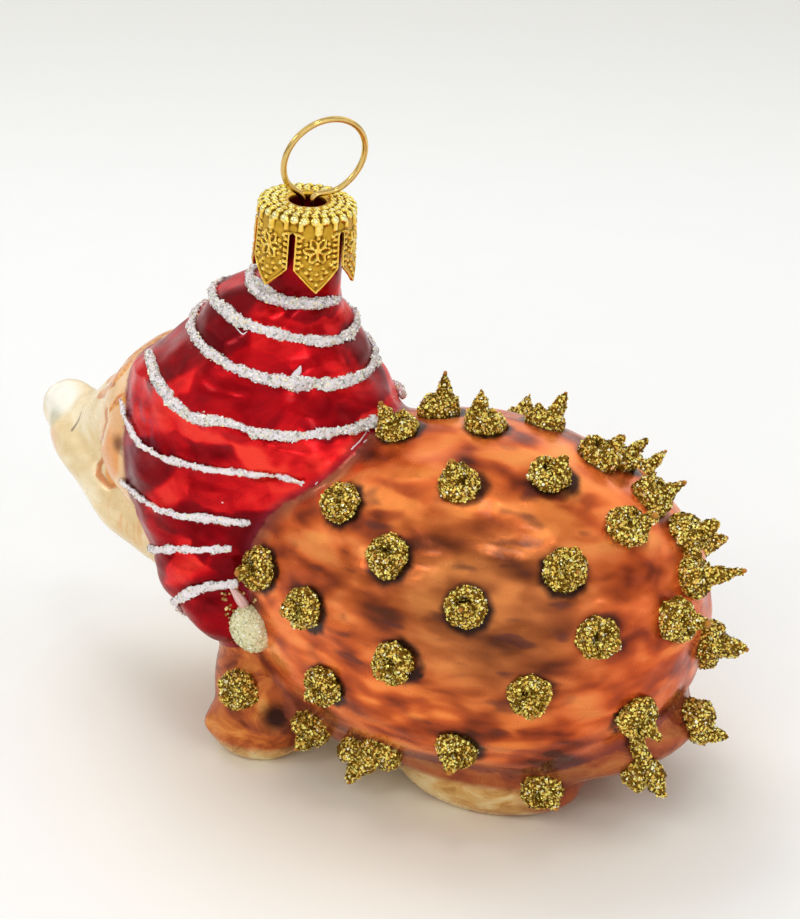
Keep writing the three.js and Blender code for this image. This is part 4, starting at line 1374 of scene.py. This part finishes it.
def hat_colour(graph, settings):
    """Deep red with bright and dark patches that are painted reflections, painted shade along its edges, a
    cloudy painted reflection on its near side and a few white specks.
    """
    bend = graph.noise(5, 2, 0.5, shift=(5, 3, 2))
    warped = graph.add("ShaderNodeVectorMath", {0: graph.place(1 / 8.2, (0.9, 0.9, 1.35))}, operation="ADD")
    graph.put(warped.inputs[1], graph.add("ShaderNodeCombineXYZ", {"X": bend, "Z": bend}).outputs[0])
    inputs = {"Vector": warped.outputs[0], "Scale": 1.0, "Smoothness": 0.22}
    facets = graph.add("ShaderNodeTexVoronoi", inputs, feature="SMOOTH_F1")
    facet = graph.add("ShaderNodeSeparateColor", {"Color": facets.outputs["Color"]}).outputs[0]
    cloud = graph.noise(5.5, 4, 0.55, (0.8, 0.8, 1.25), (1, 9, 3), 0.8)
    # The bright and dark patches are painted reflections of the studio on the glass.
    patches = graph.math("ADD", graph.math("MULTIPLY", facet, 0.42), graph.math("MULTIPLY", cloud, 0.58))
    hat = graph.colours(
        patches,
        (0.3, tuple(settings.hat_dark_reflection)),
        (0.42, (0.3, 0.0, 0.004)),
        (0.52, (0.5, 0.002, 0.006)),
        (0.62, tuple(settings.hat_bright_reflection)),
        (0.76, (0.95, 0.05, 0.03)),
    )
    # Painted shade: dark maroon along the hat's edges, in its creases with the coat and the face.
    hat_edge_shade = graph.ramp(graph.attribute("hat"), 0.0, 1.6, 0.7, 0.0)
    hat = graph.mix(hat_edge_shade, hat, (0.16, 0.012, 0.025))
    # Painted reflection: a cloudy mauve sheen on the hat's near side.
    mauve = graph.near((-22.5, -10.5, 39), 1.5, 6.5)
    cloudy = graph.ramp(graph.noise(2.6, 4, 0.6, (1.0, 1.0, 0.7), (3, 1, 4), 1.5), 0.44, 0.62)
    hat = graph.tint(hat, (0.3, 0.06, 0.1), graph.math("MULTIPLY", mauve, cloudy), 0.6)
    cells = graph.add("ShaderNodeTexVoronoi", {"Vector": graph.place(1 / 3.4, shift=(3, 3, 1)), "Scale": 1.0})
    specks = graph.ramp(cells.outputs["Distance"], 0.028, 0.04, 1.0, 0.0)
    return graph.mix(specks, hat, (0.95, 0.9, 0.92))


def face_colour(graph, settings, height):
    """Pearly cream with orange hair along the hat, a strap, a painted shadow under the hat's edge and a
    silver nose with a painted highlight and painted shade round it.
    """
    pearl = graph.noise(4.2, 3, 0.5, (1, 1, 1.3), (6, 1, 2), 0.5)
    face = graph.colours(
        pearl, (0.3, (0.8, 0.6, 0.3)), (0.5, tuple(settings.face)), (0.7, (0.96, 0.82, 0.55))
    )
    fringe = graph.noise(1.3, 3, 0.55, (0.5, 1, 2.2), (2, 2, 2), 1.2)
    warm = graph.ramp(graph.attribute("hat"), -5.0, -0.3, 0.0, 0.6)
    face = graph.tint(face, (0.88, 0.46, 0.2), warm, graph.ramp(height, 20, 29))
    brush = graph.colours(
        fringe, (0.36, (0.64, 0.2, 0.025)), (0.5, (0.8, 0.31, 0.038)), (0.64, (0.9, 0.42, 0.07))
    )
    hair = graph.ramp(graph.attribute("hair"), -0.1, 0.25, 1.0, 0.0)
    strap = graph.ramp(graph.attribute("strap"), -0.3, 0.2, 0.92, 0.0)
    fill = graph.mix(graph.near((-26.4, -8.9, 38.6), 1.0, 3.4), (0.84, 0.34, 0.09), (0.88, 0.5, 0.25))
    face = graph.mix(strap, face, fill)
    # Painted shadow where the hat's edge overhangs the strap.
    face = graph.tint(face, (0.16, 0.05, 0.015), graph.near((-25.4, -9.7, 35.4), 0.3, 1.7), 0.85)
    face = graph.mix(hair, face, brush)
    strokes = graph.ramp(graph.attribute("strokes"), -0.12, 0.26, 0.85, 0.0)
    face = graph.mix(strokes, face, (0.58, 0.17, 0.03))
    for start, heading, reach in FACE_STREAKS:
        grain = graph.ramp(graph.noise(0.9, 1, 0.4, heading, (4, 4, 4)), 0.46, 0.6)
        streak = graph.math("MULTIPLY", graph.near(start, 0.2, reach), grain)
        face = graph.tint(face, (0.8, 0.4, 0.14), streak, 0.5)
    for centre, inner, outer, share, colour in FACE_TOUCHES:
        face = graph.tint(face, colour, graph.near(centre, inner, outer), share)
    return graph.mix(graph.ramp(graph.attribute("ink"), 0.0, 0.16, 0.85, 0.0), face, (0.2, 0.17, 0.13))


def leg_colours(graph, coat, wander, height):
    """The front legs and the belly: cream gold, browned where the coat's lacquer ran down, with painted shade
    in the fold behind the near front leg and under the coat's rim.
    """
    runs = graph.noise(3.8, 4, 0.6, (0.8, 0.8, 1.2), (3, 8, 2), 0.8)
    belly = graph.colours(
        runs,
        (0.3, (0.46, 0.2, 0.05)),
        (0.44, (0.72, 0.44, 0.15)),
        (0.56, (0.84, 0.66, 0.34)),
        (0.75, (0.9, 0.78, 0.5)),
    )
    legs = graph.colours(
        runs,
        (0.34, (0.2, 0.04, 0.014)),
        (0.47, (0.48, 0.11, 0.026)),
        (0.58, (0.66, 0.2, 0.04)),
        (0.7, (0.8, 0.34, 0.09)),
    )
    # Painted shade: near black in the fold behind the front leg.
    legs = graph.mix(graph.near((-3.4, -13.1, 6.6), 0.7, 2.9), legs, (0.035, 0.008, 0.004))
    # Painted shade: dark mauve in the crease under the coat's rim.
    legs = graph.tint(legs, (0.18, 0.06, 0.06), graph.near((-1.4, -14.6, 12.4), 0.8, 3.4), 0.6)
    front = graph.mix(graph.ramp(graph.math("ADD", height, wander), 1.4, 3.0), belly, legs)
    length = graph.add("ShaderNodeSeparateXYZ", {"Vector": graph.place()}).outputs["X"]
    run_down = graph.math("MAXIMUM", graph.ramp(length, 26, 31), graph.ramp(height, 4.2, 5.6))
    return front, graph.mix(run_down, belly, graph.mix(0.5, coat, legs))


def glass_material(settings):
    """Silvered glass under coloured lacquer: a zone for each painted form, with soft edges."""
    material, graph = new_material("Lacquered Silvered Glass")
    wander = graph.ramp(graph.noise(1.4, 3, 0.6), 0.25, 0.75, -0.3, 0.3, smooth=False)
    height = self_height(graph)
    coat = coat_colour(graph, settings, wander)
    front, belly = leg_colours(graph, coat, wander, height)

    def zone(name, low=-0.25, high=0.25):
        return graph.ramp(graph.math("ADD", graph.attribute(name), wander), low, high)

    colour = graph.mix(zone("front"), coat, front)
    colour = graph.mix(zone("belly"), colour, belly)
    colour = graph.mix(zone("head"), colour, face_colour(graph, settings, height))
    colour = graph.mix(zone("hat"), colour, hat_colour(graph, settings))
    graph.shade(Base_Color=colour)
    metal = graph.ramp(zone("hat"), 0, 1, 0.55, 0.7, smooth=False)
    metal = graph.mix(zone("head"), metal, (0.15, 0.15, 0.15))
    graph.shade(Metallic=metal)
    rough = graph.ramp(graph.noise(4, 3, 0.6, shift=(7, 7, 7)), 0.3, 0.7, 0.22, 0.34)
    graph.shade(Roughness=rough)
    graph.shade(Specular_IOR_Level=0.12)
    clear = graph.ramp(graph.attribute("head"), -0.3, 0.3, 0.16, 0.5)
    clear = graph.math("MULTIPLY", clear, graph.ramp(graph.attribute("hat"), 0.0, 1.0, 1.0, 0.5))
    graph.shade(Coat_Weight=clear)
    graph.shade(Coat_Roughness=0.04)
    graph.shade(Coat_IOR=1.4)
    ripple = graph.noise(4.5, 2, 0.5, (0.8, 0.8, 1.3), (5, 5, 5))
    dimple = graph.noise(1.3, 2, 0.5, shift=(2, 5, 9))
    normal = graph.bump(ripple, 0.6, 0.5 * MM)
    normal = graph.bump(dimple, 0.25, 0.12 * MM, normal)
    graph.shade(Normal=normal)
    return material


def self_height(graph):
    """Height over the floor in millimetres."""
    return graph.add("ShaderNodeSeparateXYZ", {"Vector": graph.place()}).outputs["Z"]


# The stage.
CAMERA_TARGET = (6.013, 0.021, 36)
LAMPS = (  # place, size in metres and power; only the sparks show in the glass
    ("key_panel", (-0.3, 0.2, 0.6), 0.35, 1.45),
    ("window", (0.35, 0.1, 0.55), 0.5, 0.7),
    ("front_panel", (0.1, -0.6, 0.45), 0.45, 1.3),
    ("left_spark", (-0.35, -0.45, 0.45), 0.12, 0.3),
    ("right_spark", (0.5, -0.3, 0.4), 0.12, 0.3),
    ("top_spark", (0.05, -0.1, 0.75), 0.12, 0.35),
)
WORLD_LIGHT = 0.485  # strength of the white world as a light, where the camera sees it at 1


def make_floor(settings):
    bpy.ops.object.select_all(action="DESELECT")
    bpy.ops.mesh.primitive_plane_add(size=6)
    floor = bpy.context.active_object
    floor.name = "paper_floor"
    material, graph = new_material("Pale Paper")
    tooth = graph.noise(12, 3)
    paper = tuple(settings.paper)
    colour = graph.mix(graph.ramp(tooth, 0.3, 0.7), tuple(c * 0.992 for c in paper), paper)
    # Painted shadow under the object, warm with the light that the orange glass throws.
    painted_warm_shadow = graph.near((12, -8, 0), 10, 60)
    colour = graph.tint(colour, (0.9, 0.82, 0.62), painted_warm_shadow, 0.5)
    # Painted shade: the paper darkens far behind the object.
    behind = graph.add("ShaderNodeVectorMath", {0: graph.place()}, operation="DOT_PRODUCT")
    behind.inputs[1].default_value = (-0.454, 0.891, 0)
    far = graph.ramp(behind.outputs["Value"], 150, 330, 0.0, 1.0)
    colour = graph.mix(far, colour, tuple(c * f for c, f in zip(paper, (0.88, 0.875, 0.85))))
    graph.shade(Base_Color=colour, Roughness=0.75)
    floor.data.materials.append(material)


def make_camera(settings, target):
    turn, rise = settings.azimuth, settings.elevation
    back = Vector((math.sin(turn) * math.cos(rise), -math.cos(turn) * math.cos(rise), math.sin(rise)))
    camera = bpy.data.cameras.new("photo_camera")
    camera.lens = settings.lens
    camera.sensor_width = 36
    camera.clip_start = 0.01
    viewer = bpy.data.objects.new("photo_camera", camera)
    viewer.location = target + back * settings.distance
    viewer.rotation_mode = "QUATERNION"
    viewer.rotation_quaternion = (-back).to_track_quat("-Z", "Y")
    bpy.context.scene.collection.objects.link(viewer)
    bpy.context.scene.camera = viewer


def make_lamps(target):
    for name, place, size, power in LAMPS:
        lamp = bpy.data.lights.new(name, "AREA")
        lamp.size = size
        lamp.energy = power
        holder = bpy.data.objects.new(name, lamp)
        holder.location = place
        holder.visible_glossy = name.endswith("spark")
        holder.rotation_mode = "QUATERNION"
        holder.rotation_quaternion = (target - Vector(place)).to_track_quat("-Z", "Y")
        bpy.context.scene.collection.objects.link(holder)


def make_world():
    """A white world that is dimmer as a light than in the camera, with soft panels in the reflections."""
    world = bpy.data.worlds.new("studio")
    bpy.context.scene.world = world
    world.use_nodes = True
    graph = Graph(world.node_tree)
    sky = world.node_tree.nodes["Background"]
    rays = graph.add("ShaderNodeLightPath").outputs
    heading = graph.add("ShaderNodeTexCoord").outputs["Generated"]
    inputs = {"Vector": heading, "Scale": 1.7, "Detail": 1.0, "Distortion": 0.3}
    room = graph.add("ShaderNodeTexNoise", inputs)
    panels = graph.ramp(room.outputs["Fac"], 0.42, 0.56, 0.5, 1.15)
    strength = graph.ramp(rays["Is Camera Ray"], 0, 1, WORLD_LIGHT, 1.0)
    mirrored = graph.math("MAXIMUM", rays["Is Glossy Ray"], rays["Is Transmission Ray"])
    strength = graph.mix(mirrored, strength, panels)
    graph.put(sky.inputs["Color"], (1.0, 1.0, 0.99))
    graph.put(sky.inputs["Strength"], strength)


def make_stage(settings):
    target = Vector(CAMERA_TARGET) * MM
    make_floor(settings)
    make_camera(settings, target)
    make_lamps(target)
    make_world()
    bpy.context.scene.view_settings.view_transform = "Standard"


# Operators and panel.
class ORNAMENT_OT_glass(bpy.types.Operator):
    """Blow the glass body and lacquer it"""

    bl_idname = "ornament.glass"
    bl_label = "Glass Body"

    def execute(self, context):
        make_glass(context.scene.ornament.glass)
        return {"FINISHED"}


class ORNAMENT_OT_stripes(bpy.types.Operator):
    """Lay the white glitter glue round the hat"""

    bl_idname = "ornament.stripes"
    bl_label = "Hat Stripes"

    def execute(self, context):
        make_stripes(context.scene.ornament.glue)
        return {"FINISHED"}


class ORNAMENT_OT_pompom(bpy.types.Operator):
    """Set the pompom at the end of the hat"""

    bl_idname = "ornament.pompom"
    bl_label = "Pompom"

    def execute(self, context):
        make_pompom(context.scene.ornament.glue)
        return {"FINISHED"}


class ORNAMENT_OT_spikes(bpy.types.Operator):
    """Dab the gold glitter spikes on the coat"""

    bl_idname = "ornament.spikes"
    bl_label = "Gold Spikes"

    def execute(self, context):
        make_spikes(context.scene.ornament.glue)
        return {"FINISHED"}


class ORNAMENT_OT_cap(bpy.types.Operator):
    """Stamp the crown cap"""

    bl_idname = "ornament.cap"
    bl_label = "Crown Cap"

    def execute(self, context):
        make_cap(context.scene.ornament.metal)
        return {"FINISHED"}


class ORNAMENT_OT_ring(bpy.types.Operator):
    """Bend the wire ring"""

    bl_idname = "ornament.ring"
    bl_label = "Wire Ring"

    def execute(self, context):
        make_ring(context.scene.ornament.metal)
        return {"FINISHED"}


class ORNAMENT_OT_stage(bpy.types.Operator):
    """Lay the paper floor and set the lamps and the camera"""

    bl_idname = "ornament.stage"
    bl_label = "Stage"

    def execute(self, context):
        make_stage(context.scene.ornament.stage)
        return {"FINISHED"}


OPERATORS = (
    ORNAMENT_OT_stage,
    ORNAMENT_OT_glass,
    ORNAMENT_OT_stripes,
    ORNAMENT_OT_pompom,
    ORNAMENT_OT_spikes,
    ORNAMENT_OT_cap,
    ORNAMENT_OT_ring,
)


class ORNAMENT_PT_panel(bpy.types.Panel):
    """Lists the steps that dress the ornament"""

    bl_label = "Glass Hedgehog Ornament"
    bl_space_type = "VIEW_3D"
    bl_region_type = "UI"
    bl_category = "Ornament"

    def draw(self, context):
        for step in OPERATORS:
            self.layout.operator(step.bl_idname)


GROUP_CLASSES = (GlassSettings, GlueSettings, MetalSettings, StageSettings, OrnamentSettings)


def register():
    for cls in (*GROUP_CLASSES, *OPERATORS, ORNAMENT_PT_panel):
        bpy.utils.register_class(cls)
    bpy.types.Scene.ornament = PointerProperty(type=OrnamentSettings)


def unregister():
    del bpy.types.Scene.ornament
    for cls in reversed((*GROUP_CLASSES, *OPERATORS, ORNAMENT_PT_panel)):
        bpy.utils.unregister_class(cls)


def corners(box):
    return [list(corner) for corner in box]


def main():
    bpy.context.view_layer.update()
    register()
    bpy.ops.ornament.stage()
    bpy.ops.ornament.glass()
    bpy.ops.ornament.stripes()
    bpy.ops.ornament.pompom()
    bpy.ops.ornament.spikes()
    bpy.ops.ornament.cap()
    bpy.ops.ornament.ring()


if __name__ == "__main__":
    main()
